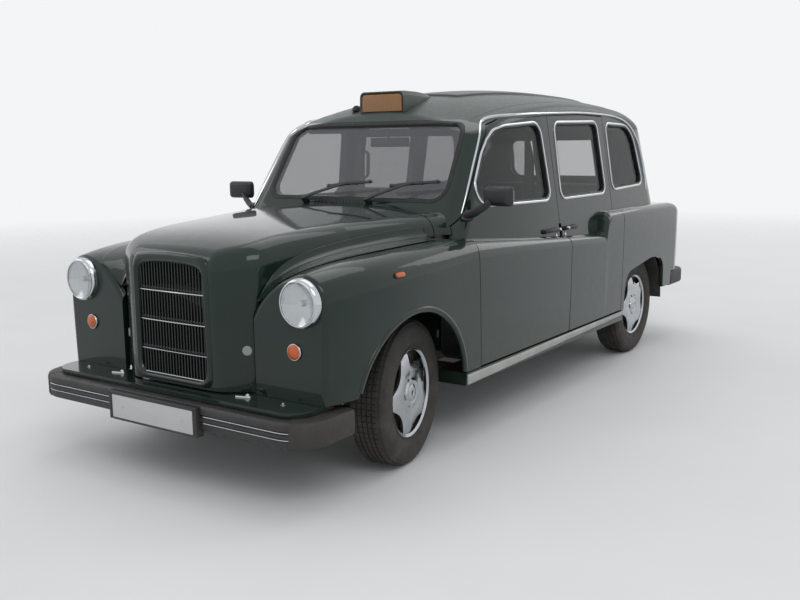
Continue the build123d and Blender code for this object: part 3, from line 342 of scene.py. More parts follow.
@dataclass
class MaterialShop:
    """Makes each finish's material once."""

    made: dict[str, bpy.types.Material]
    ridges = {Grain.RIBBED: "Z", Grain.FLUTED: "X", Grain.WEAVE: "XY"}

    def get(self, finish: Finish) -> bpy.types.Material:
        """Give a finish's material, made the first time it is asked for."""
        if finish.name not in self.made:
            self.made[finish.name] = self.build(finish)
        return self.made[finish.name]

    def build(self, finish: Finish) -> bpy.types.Material:
        """Make a finish's material.

        Args:
            finish: the finish.

        Returns:
            The material.
        """
        material = bpy.data.materials.new(finish.name)
        material.use_nodes = True
        tree = material.node_tree
        shader = tree.nodes["Principled BSDF"].inputs
        own = {"Metallic": finish.metallic, "Coat Weight": finish.coat, "Coat Roughness": 0.03,
               "Coat IOR": finish.coat_ior, "Specular IOR Level": finish.specular,
               "Sheen Weight": finish.sheen,
               "Alpha": finish.alpha}
        # Emission is painted light here: the windscreen's sky reflection and a faint glow in unlit amber
        # lenses
        if finish.glow:
            own |= {"Emission Color": linear(finish.glow_colour or finish.colour),
                    "Emission Strength": finish.glow}
            material.cycles.emission_sampling = "NONE"
        for socket, value in own.items():
            shader[socket].default_value = value
        coords = wire(tree, "TexCoord", "Object", {})
        tree.links.new(self.colouring(tree, coords, finish), shader["Base Color"])
        wear = wire(tree, "TexNoise", "Fac",
                    {"Vector": coords, "Scale": 6 / (finish.mottle * MM), "Detail": 5.0})
        rough = wire(tree, "MapRange", "Result", {
            "Value": wear, "From Min": 0.3, "From Max": 0.7,
            "To Min": max(finish.roughness - finish.spread, 0.0), "To Max": finish.roughness + finish.spread})
        tree.links.new(rough, shader["Roughness"])
        height = self.pattern(tree, coords, finish)
        if height is not None:
            settings = {"Height": height, "Strength": 1.0, "Distance": finish.depth * MM}
            tree.links.new(wire(tree, "Bump", "Normal", settings), shader["Normal"])
        return material

    def colouring(self, tree: bpy.types.NodeTree, coords: bpy.types.NodeSocket, finish: Finish
                  ) -> bpy.types.NodeSocket:
        """Mottle the two colours, and lay road dust over them, thicker low down and in patches.

        Args:
            tree: the node tree.
            coords: the object's coordinates.
            finish: the finish.

        Returns:
            The colour.
        """
        blotch = wire(tree, "TexNoise", "Fac",
                      {"Vector": coords, "Scale": 1 / (finish.mottle * MM), "Detail": 3.0})
        spots = wire(tree, "MapRange", "Result",
                     {"Value": blotch, "From Min": 0.35, "From Max": 0.72, "To Max": finish.mottling})
        colour = wire(tree, "Mix", MIX_OUT,
                      {0: spots, MIX_A: linear(finish.colour), MIX_B: linear(finish.second)},
                      data_type="RGBA")
        if not finish.dust:
            return colour
        height = wire(tree, "SeparateXYZ", "Z", {0: coords})
        low = wire(tree, "MapRange", "Result",
                   {"Value": height, "From Min": 0.75, "From Max": 0.25, "To Min": 0.0,
                    "To Max": finish.dust})
        grit = wire(tree, "TexNoise", "Fac", {"Vector": coords, "Scale": 1 / (70 * MM), "Detail": 6.0})
        patches = wire(tree, "MapRange", "Result",
                       {"Value": grit, "From Min": 0.35, "From Max": 0.65, "To Min": 0.35})
        share = wire(tree, "Math", 0, {0: low, 1: patches}, operation="MULTIPLY")
        return wire(tree, "Mix", MIX_OUT, {0: share, MIX_A: colour, MIX_B: linear("#6d675c")},
                    data_type="RGBA")

    def pattern(self, tree: bpy.types.NodeTree, coords: bpy.types.NodeSocket, finish: Finish
                ) -> Optional[bpy.types.NodeSocket]:
        """Draw a finish's grain.

        Args:
            tree: the node tree.
            coords: the object's coordinates.
            finish: the finish.

        Returns:
            The grain's height, or None where it is smooth.
        """
        if finish.grain is Grain.SMOOTH:
            return None
        scale = 1 / (finish.pitch * MM)
        if finish.grain is Grain.LEATHER:
            cells = wire(tree, "TexVoronoi", "Distance", {"Vector": coords, "Scale": scale},
                         feature="DISTANCE_TO_EDGE")
            return wire(tree, "MapRange", "Result", {"Value": cells, "From Max": 0.16})
        if finish.grain in self.ridges:
            axes = self.ridges[finish.grain]
            inputs = {"Vector": coords, "Scale": scale * WAVE_RUN, "Distortion": 1.5 * (len(axes) - 1)}
            ways = [wire(tree, "TexWave", "Fac", inputs, bands_direction=axis) for axis in axes]
            return ways[0] if len(ways) == 1 else wire(tree, "Math", 0, dict(enumerate(ways)),
                                                       operation="ADD")
        if finish.grain is Grain.BRUSHED:
            coords = wire(tree, "Mapping", "Vector", {"Vector": coords, "Scale": (1.0, 0.05, 1.0)})
        return wire(tree, "TexNoise", "Fac", {"Vector": coords, "Scale": scale, "Detail": 3.0})


SHOP = MaterialShop({})


# Mesh helpers


def add_node(name: str, bm: bmesh.types.BMesh, finish: Finish, body: str = Body.CAB.on(), sharp: float = 32.0,
             slot: str = "") -> bpy.types.Object:
    """Turn a bmesh into a piece of the cab.

    Args:
        name: the piece's name.
        bm: its mesh, which is freed.
        finish: its finish.
        body: the frame body that it rides on.
        sharp: the angle in degrees above which an edge stays sharp.
        slot: the record's material slot, where it isn't the finish's own; it is not used.

    Returns:
        The new object.
    """
    bmesh.ops.recalc_face_normals(bm, faces=bm.faces)
    mesh = bpy.data.meshes.new(name)
    bm.to_mesh(mesh)
    bm.free()
    for polygon in mesh.polygons:
        polygon.use_smooth = True
    mesh.set_sharp_from_angle(angle=math.radians(sharp))
    mesh.materials.append(SHOP.get(finish))
    obj = bpy.data.objects.new(name, mesh)
    bpy.context.scene.collection.objects.link(obj)
    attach(obj, body)
    return obj


def apply_modifiers(obj: bpy.types.Object) -> None:
    """Put an object's modifiers into its mesh.

    Args:
        obj: the object.
    """
    graph = bpy.context.evaluated_depsgraph_get()
    result = bpy.data.meshes.new_from_object(obj.evaluated_get(graph))
    old = obj.data
    obj.modifiers.clear()
    obj.data = result
    bpy.data.meshes.remove(old)


def arc_corner(before: Vector, corner: Vector, after: Vector, radius: float, steps: int) -> list[Vector]:
    """Round one corner of a flat outline.

    Args:
        before: the point before the corner.
        corner: the corner.
        after: the point after it.
        radius: the rounding radius.
        steps: the number of runs in the arc.

    Returns:
        The arc's points.
    """
    a = (before - corner).normalized()
    b = (after - corner).normalized()
    half = math.acos(max(-1.0, min(1.0, a.dot(b)))) / 2
    if radius <= 0 or half > math.radians(89):
        return [corner.copy()]
    reach = min(radius / math.tan(half), 0.49 * (before - corner).length, 0.49 * (after - corner).length)
    radius = reach * math.tan(half)
    centre = corner + (a + b).normalized() * (radius / math.sin(half))
    start, end = corner + a * reach, corner + b * reach
    first, last = start - centre, end - centre
    angle = first.angle(last)
    points = []
    for step in range(steps + 1):
        t = step / steps
        weight = math.sin(angle) if angle > 1e-4 else 1.0
        mixed = (first * math.sin((1 - t) * angle) + last * math.sin(t * angle)) / weight
        points.append(centre + mixed)
    return points


def rounded(points: Sequence[Point2], radii: Sequence[float] | float, steps: int = 6,
            closed: bool = True) -> list[Point2]:
    """Round the corners of an outline.

    Args:
        points: the outline's corners.
        radii: one radius, or one per corner.
        steps: the runs in each arc.
        closed: whether the last corner joins the first.

    Returns:
        The rounded outline.
    """
    if not isinstance(radii, (list, tuple)):
        radii = [radii] * len(points)
    corners = [Vector((a, b, 0.0)) for a, b in points]
    count = len(corners)
    out: list[Point2] = []
    for index, corner in enumerate(corners):
        if not closed and index in (0, count - 1):
            out.append((corner.x, corner.y))
            continue
        arc = arc_corner(corners[index - 1], corner, corners[(index + 1) % count], radii[index], steps)
        out.extend((p.x, p.y) for p in arc)
    return out


def oblong(low: Point2, high: Point2) -> list[Point2]:
    """The corners of an upright rectangle, from its lowest corner and its highest."""
    return [low, (high[0], low[1]), high, (low[0], high[1])]


def dense(points: Sequence[Point2], pitch: float, closed: bool = True) -> list[Point2]:
    """Divide the long runs of an outline.

    Args:
        points: the outline.
        pitch: the longest run that is left.
        closed: whether the last point joins the first.

    Returns:
        The divided outline.
    """
    out: list[Point2] = []
    count = len(points)
    for index in range(count if closed else count - 1):
        (a, b), (c, d) = points[index], points[(index + 1) % count]
        runs = max(1, math.ceil(math.hypot(c - a, d - b) / pitch))
        out.extend((a + (c - a) * i / runs, b + (d - b) * i / runs) for i in range(runs))
    if not closed:
        out.append(tuple(points[-1]))
    return out


def grown(points: Sequence[Point2], amount: float) -> list[Point2]:
    """Move a closed outline outwards.

    Args:
        points: the outline.
        amount: how far it moves.

    Returns:
        The moved outline.
    """
    area = sum(a[0] * b[1] - b[0] * a[1] for a, b in zip(points, [*points[1:], points[0]]))
    turn = 1 if area > 0 else -1
    out = []
    for index, point in enumerate(points):
        before = Vector(points[index - 1])
        after = Vector(points[(index + 1) % len(points)])
        along = (after - before).normalized()
        out.append((point[0] + turn * along.y * amount, point[1] - turn * along.x * amount))
    return out


def circle_profile(radius: float, steps: int = 10) -> list[Point2]:
    """A round profile.

    Args:
        radius: its radius.
        steps: its number of sides.

    Returns:
        The profile.
    """
    return [(radius * math.cos(2 * math.pi * i / steps), radius * math.sin(2 * math.pi * i / steps))
            for i in range(steps)]


def strip_profile(width: float, height: float, crown: float = 0.3) -> list[Point2]:
    """A trim strip's profile: flat back, crowned face. It is drawn as (out, across).

    Args:
        width: its width across.
        height: how far it stands out.
        crown: the share of the height that its edges drop.

    Returns:
        The profile.
    """
    half = width / 2
    return [(0, -half), (height * (1 - crown), -half), (height, -half * 0.55), (height, half * 0.55),
            (height * (1 - crown), half), (0, half)]


def frames_along(path: Sequence[Vector], outs: Sequence[Vector], closed: bool) -> list[Matrix]:
    """Find a frame at each point of a path.

    Args:
        path: the points.
        outs: the outward direction at each point.
        closed: whether the path closes.

    Returns:
        Matrices whose X is outwards, Y across and Z along.
    """
    frames = []
    count = len(path)
    for index, point in enumerate(path):
        before = path[index - 1] if closed or index else point
        after = path[(index + 1) % count] if closed or index < count - 1 else point
        along = (after - before).normalized()
        out = (outs[index] - along * outs[index].dot(along)).normalized()
        across = along.cross(out)
        place = Matrix((out, across, along)).transposed().to_4x4()
        place.translation = point
        frames.append(place)
    return frames


def sweep_into(bm: bmesh.types.BMesh, path: Sequence[Vector], outs: Sequence[Vector],
               profile: Sequence[Point2], closed: bool = False,
               scale: Optional[Callable[[float], float]] = None) -> None:
    """Sweep a closed profile along a path.

    Args:
        bm: the mesh that receives it.
        path: the path's points.
        outs: the outward direction at each point.
        profile: the profile's points as (out, across).
        closed: whether the path closes.
        scale: a factor on the profile, from the share of the way along.
    """
    frames = frames_along(path, outs, closed)
    if scale:
        last = len(frames) - 1
        frames = [f @ Matrix.Scale(scale(i / last), 4) for i, f in enumerate(frames)]
    ring = [bm.verts.new(frames[0] @ Vector((a, b, 0))) for a, b in profile]
    edges = [bm.edges.new((ring[i - 1], ring[i])) for i in range(len(ring))]
    first_ring = list(ring)
    if not closed:
        bm.faces.new(ring)
    stops = [*frames[1:], frames[0]] if closed else frames[1:]
    now = frames[0]
    for stop in stops:
        made = bmesh.ops.extrude_edge_only(bm, edges=edges)["geom"]
        ring = [g for g in made if isinstance(g, bmesh.types.BMVert)]
        edges = [g for g in made if isinstance(g, bmesh.types.BMEdge) and g.is_boundary]
        bmesh.ops.transform(bm, matrix=stop @ now.inverted(), verts=ring)
        now = stop
    if closed:
        bmesh.ops.remove_doubles(bm, verts=[*ring, *first_ring], dist=1e-6)
    else:
        bmesh.ops.contextual_create(bm, geom=edges)


def tube_into(bm: bmesh.types.BMesh, path: Sequence[Vector], radius: float, steps: int = 10,
              closed: bool = False, scale: Optional[Callable[[float], float]] = None) -> None:
    """Sweep a round bar along a path.

    Args:
        bm: the mesh that receives it.
        path: the path's points.
        radius: its radius.
        steps: its number of sides.
        closed: whether the path closes.
        scale: a factor on the radius, from the share of the way along.
    """
    chord = (path[-1] - path[0]) if not closed else (path[1] - path[0])
    guide = Vector((0, 0, 1)) if abs(chord.normalized().z) < 0.8 else Vector((0, 1, 0.001))
    outs = [guide] * len(path)
    sweep_into(bm, path, outs, circle_profile(radius, steps), closed, scale)


def spin_into(bm: bmesh.types.BMesh, profile: Sequence[Point2], place: Matrix, steps: int = 48,
              closed: bool = True) -> None:
    """Turn a profile about the local X axis.

    Args:
        bm: the mesh that receives it.
        profile: points as (along the axis, radius).
        place: the local frame's place.
        steps: the number of runs round.
        closed: whether the profile is a closed ring.
    """
    verts = [bm.verts.new((a, 0.0, max(r, 1e-5))) for a, r in profile]
    pairs = zip(verts, verts[1:] + verts[:1]) if closed else zip(verts, verts[1:])
    edges = [bm.edges.new(pair) for pair in pairs]
    before = set(bm.verts)
    bmesh.ops.spin(bm, geom=[*verts, *edges], cent=(0, 0, 0), axis=(1, 0, 0), angle=2 * math.pi,
                   steps=steps, use_merge=True, use_duplicate=False)
    fresh = [v for v in bm.verts if v not in before] + verts
    fresh = list(dict.fromkeys(v for v in fresh if v.is_valid))
    bmesh.ops.remove_doubles(bm, verts=fresh, dist=2e-5)
    fresh = [v for v in fresh if v.is_valid]
    bmesh.ops.transform(bm, matrix=place, verts=fresh)


def block_into(bm: bmesh.types.BMesh, low: Sequence[float], high: Sequence[float], radius: float,
               segments: int = 3, place: Optional[Matrix] = None) -> list[bmesh.types.BMVert]:
    """Add a block with rounded edges.

    Args:
        bm: the mesh that receives it.
        low: its lowest corner.
        high: its highest corner.
        radius: the rounding radius.
        segments: the runs in each rounding.
        place: a transform after it is made.

    Returns:
        Its vertices.
    """
    low, high = Vector(low), Vector(high)
    size = high - low
    matrix = Matrix.Translation((low + high) / 2) @ Matrix.Diagonal((*size, 1))
    before = set(bm.verts)
    made = bmesh.ops.create_cube(bm, size=1.0, matrix=matrix)
    edges = list(dict.fromkeys(e for v in made["verts"] for e in v.link_edges))
    if radius > 0:
        bmesh.ops.bevel(bm, geom=edges, offset=min(radius, min(size) * 0.49), segments=segments,
                        profile=0.5, affect="EDGES", material=-1, clamp_overlap=True)
    verts = [v for v in bm.verts if v not in before]
    if place is not None:
        bmesh.ops.transform(bm, matrix=place, verts=verts)
    return verts


def slab_into(bm: bmesh.types.BMesh, outline: Sequence[Point2], thickness: float, place: Matrix,
              bevel: float = 0.0, segments: int = 2) -> list[bmesh.types.BMVert]:
    """Add a flat slab with a rounded rim.

    Args:
        bm: the mesh that receives it.
        outline: its outline in the local XY plane.
        thickness: its height along local Z.
        place: the local frame's place.
        bevel: the rounding of its upper rim.
        segments: the runs in that rounding.

    Returns:
        Its vertices.
    """
    before = set(bm.verts)
    face = bm.faces.new([bm.verts.new((a, b, 0)) for a, b in outline])
    made = bmesh.ops.extrude_face_region(bm, geom=[face])["geom"]
    top = [g for g in made if isinstance(g, bmesh.types.BMVert)]
    bmesh.ops.translate(bm, vec=(0, 0, thickness), verts=top)
    if bevel:
        around = dict.fromkeys(e for v in top for e in v.link_edges)
        rim = [e for e in around if all(v in top for v in e.verts)]
        bmesh.ops.bevel(bm, geom=rim, offset=bevel, segments=segments, profile=0.5, affect="EDGES",
                        material=-1, clamp_overlap=True)
    verts = [v for v in bm.verts if v not in before]
    bmesh.ops.transform(bm, matrix=place, verts=verts)
    return verts


def facing(origin: Sequence[float], out: Sequence[float], up: Sequence[float] = (0, 0, 1)) -> Matrix:
    """A local frame on a surface: X to the right, Y up, Z outwards.

    Args:
        origin: its place.
        out: the outward direction.
        up: the upward direction.

    Returns:
        The frame.
    """
    z = Vector(out).normalized()
    x = Vector(up).cross(z).normalized()
    y = z.cross(x)
    place = Matrix((x, y, z)).transposed().to_4x4()
    place.translation = Vector(origin)
    return place


def turned(place: Sequence[float], degrees: float, axis: str = "X") -> Matrix:
    """A place in the cab, turned about one of its own axes."""
    return Matrix.Translation(place) @ Matrix.Rotation(math.radians(degrees), 4, axis)


def axle(origin: Sequence[float], along: Sequence[float]) -> Matrix:
    """A local frame for turned pieces, with X along an axis.

    Args:
        origin: its place.
        along: the axis.

    Returns:
        The frame.
    """
    x = Vector(along).normalized()
    guide = Vector((0, 0, 1)) if abs(x.z) < 0.9 else Vector((0, 1, 0))
    y = guide.cross(x).normalized()
    place = Matrix((x, y, x.cross(y))).transposed().to_4x4()
    place.translation = Vector(origin)
    return place


def sided(point: Sequence[float], side: int) -> Vector:
    """A point of the left side, or its mirror image.

    Args:
        point: the point on the left.
        side: LEFT or RIGHT.

    Returns:
        The point.
    """
    return Vector((point[0] * side, point[1], point[2]))


def loft_into(bm: bmesh.types.BMesh, rings: Iterable[Iterable[Sequence[float]]]
              ) -> list[list[bmesh.types.BMEdge]]:
    """Bridge closed rings of points, each to the next.

    Args:
        bm: the mesh.
        rings: the points of each ring.

    Returns:
        The edges of each ring.
    """
    loops: list[list[bmesh.types.BMEdge]] = []
    for points in rings:
        ring = [bm.verts.new(point) for point in points]
        loops.append([bm.edges.new((ring[i - 1], ring[i])) for i in range(len(ring))])
    for first, second in zip(loops, loops[1:]):
        bmesh.ops.bridge_loops(bm, edges=[*first, *second])
    return loops


class Skin:
    """Finds points on the frame's outer surfaces."""

    def __init__(self, nodes: Iterable[str]) -> None:
        """Gather the surfaces.

        Args:
            nodes: the frame's nodes that carry them.
        """
        bm = bmesh.new()
        for name in nodes:
            bm.from_mesh(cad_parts[name].data)
        self.tree = BVHTree.FromBMesh(bm)
        bm.free()

    def hit(self, start: Vector, direction: Vector) -> Optional[tuple[Vector, Vector]]:
        """Cast one ray.

        Args:
            start: where it starts.
            direction: where it goes.

        Returns:
            The place and its normal, or None.
        """
        place, normal, _, _ = self.tree.ray_cast(start, direction)
        if place is None:
            return None
        if normal.dot(direction) > 0:
            normal = -normal
        return place, normal

    def trace(self, points: Iterable[Point2], lift: Callable[[Point2], tuple[Vector, Vector]]
              ) -> tuple[list[Vector], list[Vector]]:
        """Lay an outline on the surface.

        Args:
            points: the outline.
            lift: gives each point's ray as start and direction.

        Returns:
            The places and normals where a ray hit.
        """
        places, normals = [], []
        for point in points:
            found = self.hit(*lift(point))
            if found:
                places.append(found[0])
                normals.append(found[1])
        return places, normals


def from_left(point: Point2) -> tuple[Vector, Vector]:
    """A ray that comes in from the cab's left at (y, z)."""
    return Vector((1.3, point[0], point[1])), Vector((-1, 0, 0))


def from_front(point: Point2) -> tuple[Vector, Vector]:
    """A ray that comes in from ahead at (x, z)."""
    return Vector((point[0], -3.0, point[1])), Vector((0, 1, 0))


def from_rear(point: Point2) -> tuple[Vector, Vector]:
    """A ray that comes in from behind at (x, z)."""
    return Vector((point[0], 3.0, point[1])), Vector((0, -1, 0))


def from_above(point: Point2) -> tuple[Vector, Vector]:
    """A ray that comes down at (x, y)."""
    return Vector((point[0], point[1], 2.4)), Vector((0, 0, -1))


FRONT_CORNERS = [(-0.770, 1.162), (-0.518, 1.536), (0.002, 1.568), (0.030, 1.152)]
FRONT_WINDOW = rounded(FRONT_CORNERS, 0.045, 12)
FRONT_FRAME = rounded(FRONT_CORNERS, [0.075, 0.360, 0.070, 0.050], 12)
GLASS_DEPTH = 0.012
REAR_WINDOW = rounded([(0.190, 1.152), (0.208, 1.568), (0.813, 1.578), (0.829, 1.152)], 0.045)
QUARTER_WINDOW = rounded([(0.977, 1.168), (0.977, 1.570), (1.405, 1.558), (1.495, 1.182)],
                         [0.042, 0.042, 0.175, 0.042], 8)
WINDSCREEN = rounded([(-0.590, 1.185), (0.590, 1.185), (0.566, 1.567), (-0.566, 1.567)], 0.070, 8)
BACK_WINDOW = rounded([(-0.430, 1.196), (0.430, 1.196), (0.400, 1.490), (-0.400, 1.490)], 0.080, 8)


# Wheels


@dataclass
class RoadWheel:
    """One road wheel: tyre with tread, pressed rim and bright trim.

    Attributes:
        front: whether it is a front wheel, which stands steered.
        side: LEFT or RIGHT.
    """

    front: bool
    side: int
    blocks: int = 76
    trim_steps: int = 150
    slots: int = 5
    rib_centres: tuple[float, ...] = (-0.047, -0.0235, 0.0, 0.0235, 0.047)
    rib_width: float = 0.019

    @property
    def place(self) -> Matrix:
        """Local frame at the wheel's centre, with X outwards."""
        axle_y = FRONT_AXLE_Y if self.front else REAR_AXLE_Y
        place = Matrix.Translation((self.side * WHEEL_X, axle_y, AXLE_Z))
        if self.side == RIGHT:
            place = place @ Matrix.Rotation(math.pi, 4, "Z")
        if self.front:
            pin = Matrix.Translation((self.side * STEER_PIN_X, FRONT_AXLE_Y, 0))
            place = pin @ Matrix.Rotation(PARKED_STEER, 4, "Z") @ pin.inverted() @ place
        return place

    @property
    def label(self) -> str:
        """The end of the node names, such as front_left."""
        return f"{'front' if self.front else 'rear'}_{{}}_{SIDE_NAMES[self.side]}"

    @property
    def body(self) -> str:
        """The body that it rides on."""
        return (Body.FRONT_WHEEL if self.front else Body.REAR_WHEEL).on(self.side)

    def tyre(self) -> None:
        """Make the tyre with its tread blocks and ribbed wall."""
        wall = [(-0.074, 0.2145), (-0.080, 0.222), (-0.083, 0.228), (-0.0875, 0.238), (-0.0905, 0.252),
                (-0.0912, 0.270), (-0.0890, 0.290), (-0.0893, 0.2935), (-0.0868, 0.299), (-0.0862, 0.304),
                (-0.0815, 0.314), (-0.0745, 0.3230), (-0.0668, 0.3285), (-0.0605, 0.3298)]
        crown = []
        for centre in self.rib_centres:
            crown += [(centre - self.rib_width / 2, 0.3305), (centre + self.rib_width / 2, 0.3305)]
        profile = [*wall, *crown, *[(-a, r) for a, r in reversed(wall)]]
        bm = bmesh.new()
        spin_into(bm, profile, Matrix.Identity(4), self.blocks)
        ribs = []
        for face in bm.faces:
            centre = face.calc_center_median()
            reach = math.hypot(centre.y, centre.z)
            if reach > 0.3285 and any(abs(centre.x - c) < 0.004 for c in self.rib_centres):
                ribs.append(face)
        bmesh.ops.recalc_face_normals(bm, faces=bm.faces)
        bmesh.ops.inset_individual(bm, faces=ribs, thickness=0.0014, depth=0.0072, use_even_offset=True)
        shoulder = [f for f in bm.faces if abs(abs(f.calc_center_median().x) - 0.0706) < 0.003
                    and math.hypot(f.calc_center_median().y, f.calc_center_median().z) > 0.318]
        bmesh.ops.inset_individual(bm, faces=shoulder, thickness=0.0016, depth=0.0032, use_even_offset=True)
        bmesh.ops.transform(bm, matrix=self.place, verts=bm.verts)
        piece = add_node(self.label.format("tyre_tread"), bm, TYRE, self.body, 38)
        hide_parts(self.label.format("tyre"))

    def slot_depth(self, angle: float) -> float:
        """How deep the trim's cut-outs reach at an angle, from 0 to 1."""
        pitch = 2 * math.pi / self.slots
        offset = (angle - math.radians(15) + pitch / 2) % pitch - pitch / 2
        share = abs(offset) / math.radians(25)
        return max(0.0, 1.0 - share**2.4)

    def boss_reach(self, angle: float) -> float:
        """Radius of the five-sided centre boss at an angle."""
        pitch = 2 * math.pi / self.slots
        offset = (angle - math.radians(15) + pitch / 2) % pitch - pitch / 2
        flat = 0.058 / math.cos(offset)
        return min(flat, 0.0665)

    def trim(self) -> None:
        """Make the bright trim with its cut-outs and the rim behind it."""
        rings = [(0.2135, 0.060), (0.2145, 0.068), (0.2105, 0.0745), (0.2045, 0.0770), (0.1985, 0.0745),
                 (0.1945, 0.0705), (0.1925, 0.0700), (0.160, 0.0745), (0.140, 0.0775), (0.120, 0.0795),
                 (0.100, 0.0795), (0.085, 0.0780), (0.074, 0.0760), (0.068, 0.0765), (0.063, 0.0825),
                 (0.058, 0.0838), (0.046, 0.0815), (0.040, 0.0800), (0.034, 0.0835), (0.020, 0.0845),
                 (0.0001, 0.0848)]
        slot_ring, outer_ring = 7, 6
        bm = bmesh.new()
        spin_into(bm, [(h, r) for r, h in rings], Matrix.Identity(4), self.trim_steps, closed=False)
        cut_faces = []
        level: dict[bmesh.types.BMVert, int] = {}
        for vert in bm.verts:
            reach = math.hypot(vert.co.y, vert.co.z)
            level[vert] = min(range(len(rings)), key=lambda i: abs(rings[i][0] - reach))
        for vert, ring in level.items():
            angle = math.atan2(vert.co.y, vert.co.z)
            radius, height = rings[ring]
            depth = self.slot_depth(angle)
            if slot_ring <= ring <= slot_ring + 4:
                open_r = 0.1905 - 0.044 * depth
                share = (ring - slot_ring) / 5
                radius = open_r + (rings[slot_ring + 5][0] - open_r) * share
                if ring == slot_ring:
                    height = 0.0715 + 0.004 * depth
            elif slot_ring + 7 <= ring <= slot_ring + 8:
                radius = self.boss_reach(angle) * radius / 0.0605
            reach = max(math.hypot(vert.co.y, vert.co.z), 1e-6)
            vert.co = (height, vert.co.y * radius / reach, vert.co.z * radius / reach)
        for face in bm.faces:
            levels = {level[v] for v in face.verts}
            angle = math.atan2(face.calc_center_median().y, face.calc_center_median().z)
            if levels == {outer_ring, slot_ring} and self.slot_depth(angle) > 0.02:
                cut_faces.append(face)
        bmesh.ops.delete(bm, geom=cut_faces, context="FACES")
        lips = [e for e in bm.edges if e.is_boundary and 0.14 < e.verts[0].co.yz.length < 0.2]
        made = bmesh.ops.extrude_edge_only(bm, edges=lips)["geom"]
        bmesh.ops.translate(bm, vec=(-0.014, 0, 0),
                            verts=[g for g in made if isinstance(g, bmesh.types.BMVert)])
        shell = bmesh.new()
        rim = [(-0.076, 0.2139), (-0.078, 0.2075), (-0.066, 0.2015), (-0.050, 0.2000), (-0.040, 0.189),
               (0.030, 0.187), (0.034, 0.130), (0.046, 0.100), (0.046, 0.0210), (0.054, 0.0210),
               (0.054, 0.104), (0.042, 0.134), (0.040, 0.187), (0.050, 0.1965), (0.064, 0.2010),
               (0.079, 0.2075), (0.077, 0.2139)]
        spin_into(shell, rim, Matrix.Identity(4), 64)
        bmesh.ops.transform(shell, matrix=self.place, verts=shell.verts)
        back = add_node(self.label.format("rim_barrel"), shell, CHASSIS, self.body)
        bmesh.ops.transform(bm, matrix=self.place, verts=bm.verts)
        front = add_node(self.label.format("wheel_trim"), bm, TRIM, self.body, 40)
        thicken = front.modifiers.new("sheet", "SOLIDIFY")
        thicken.thickness = 0.0012
        thicken.offset = -1
        apply_modifiers(front)
        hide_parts(self.label.format("wheel"))

    def make(self) -> None:
        """Make the whole wheel."""
        self.tyre()
        self.trim()


# Nose


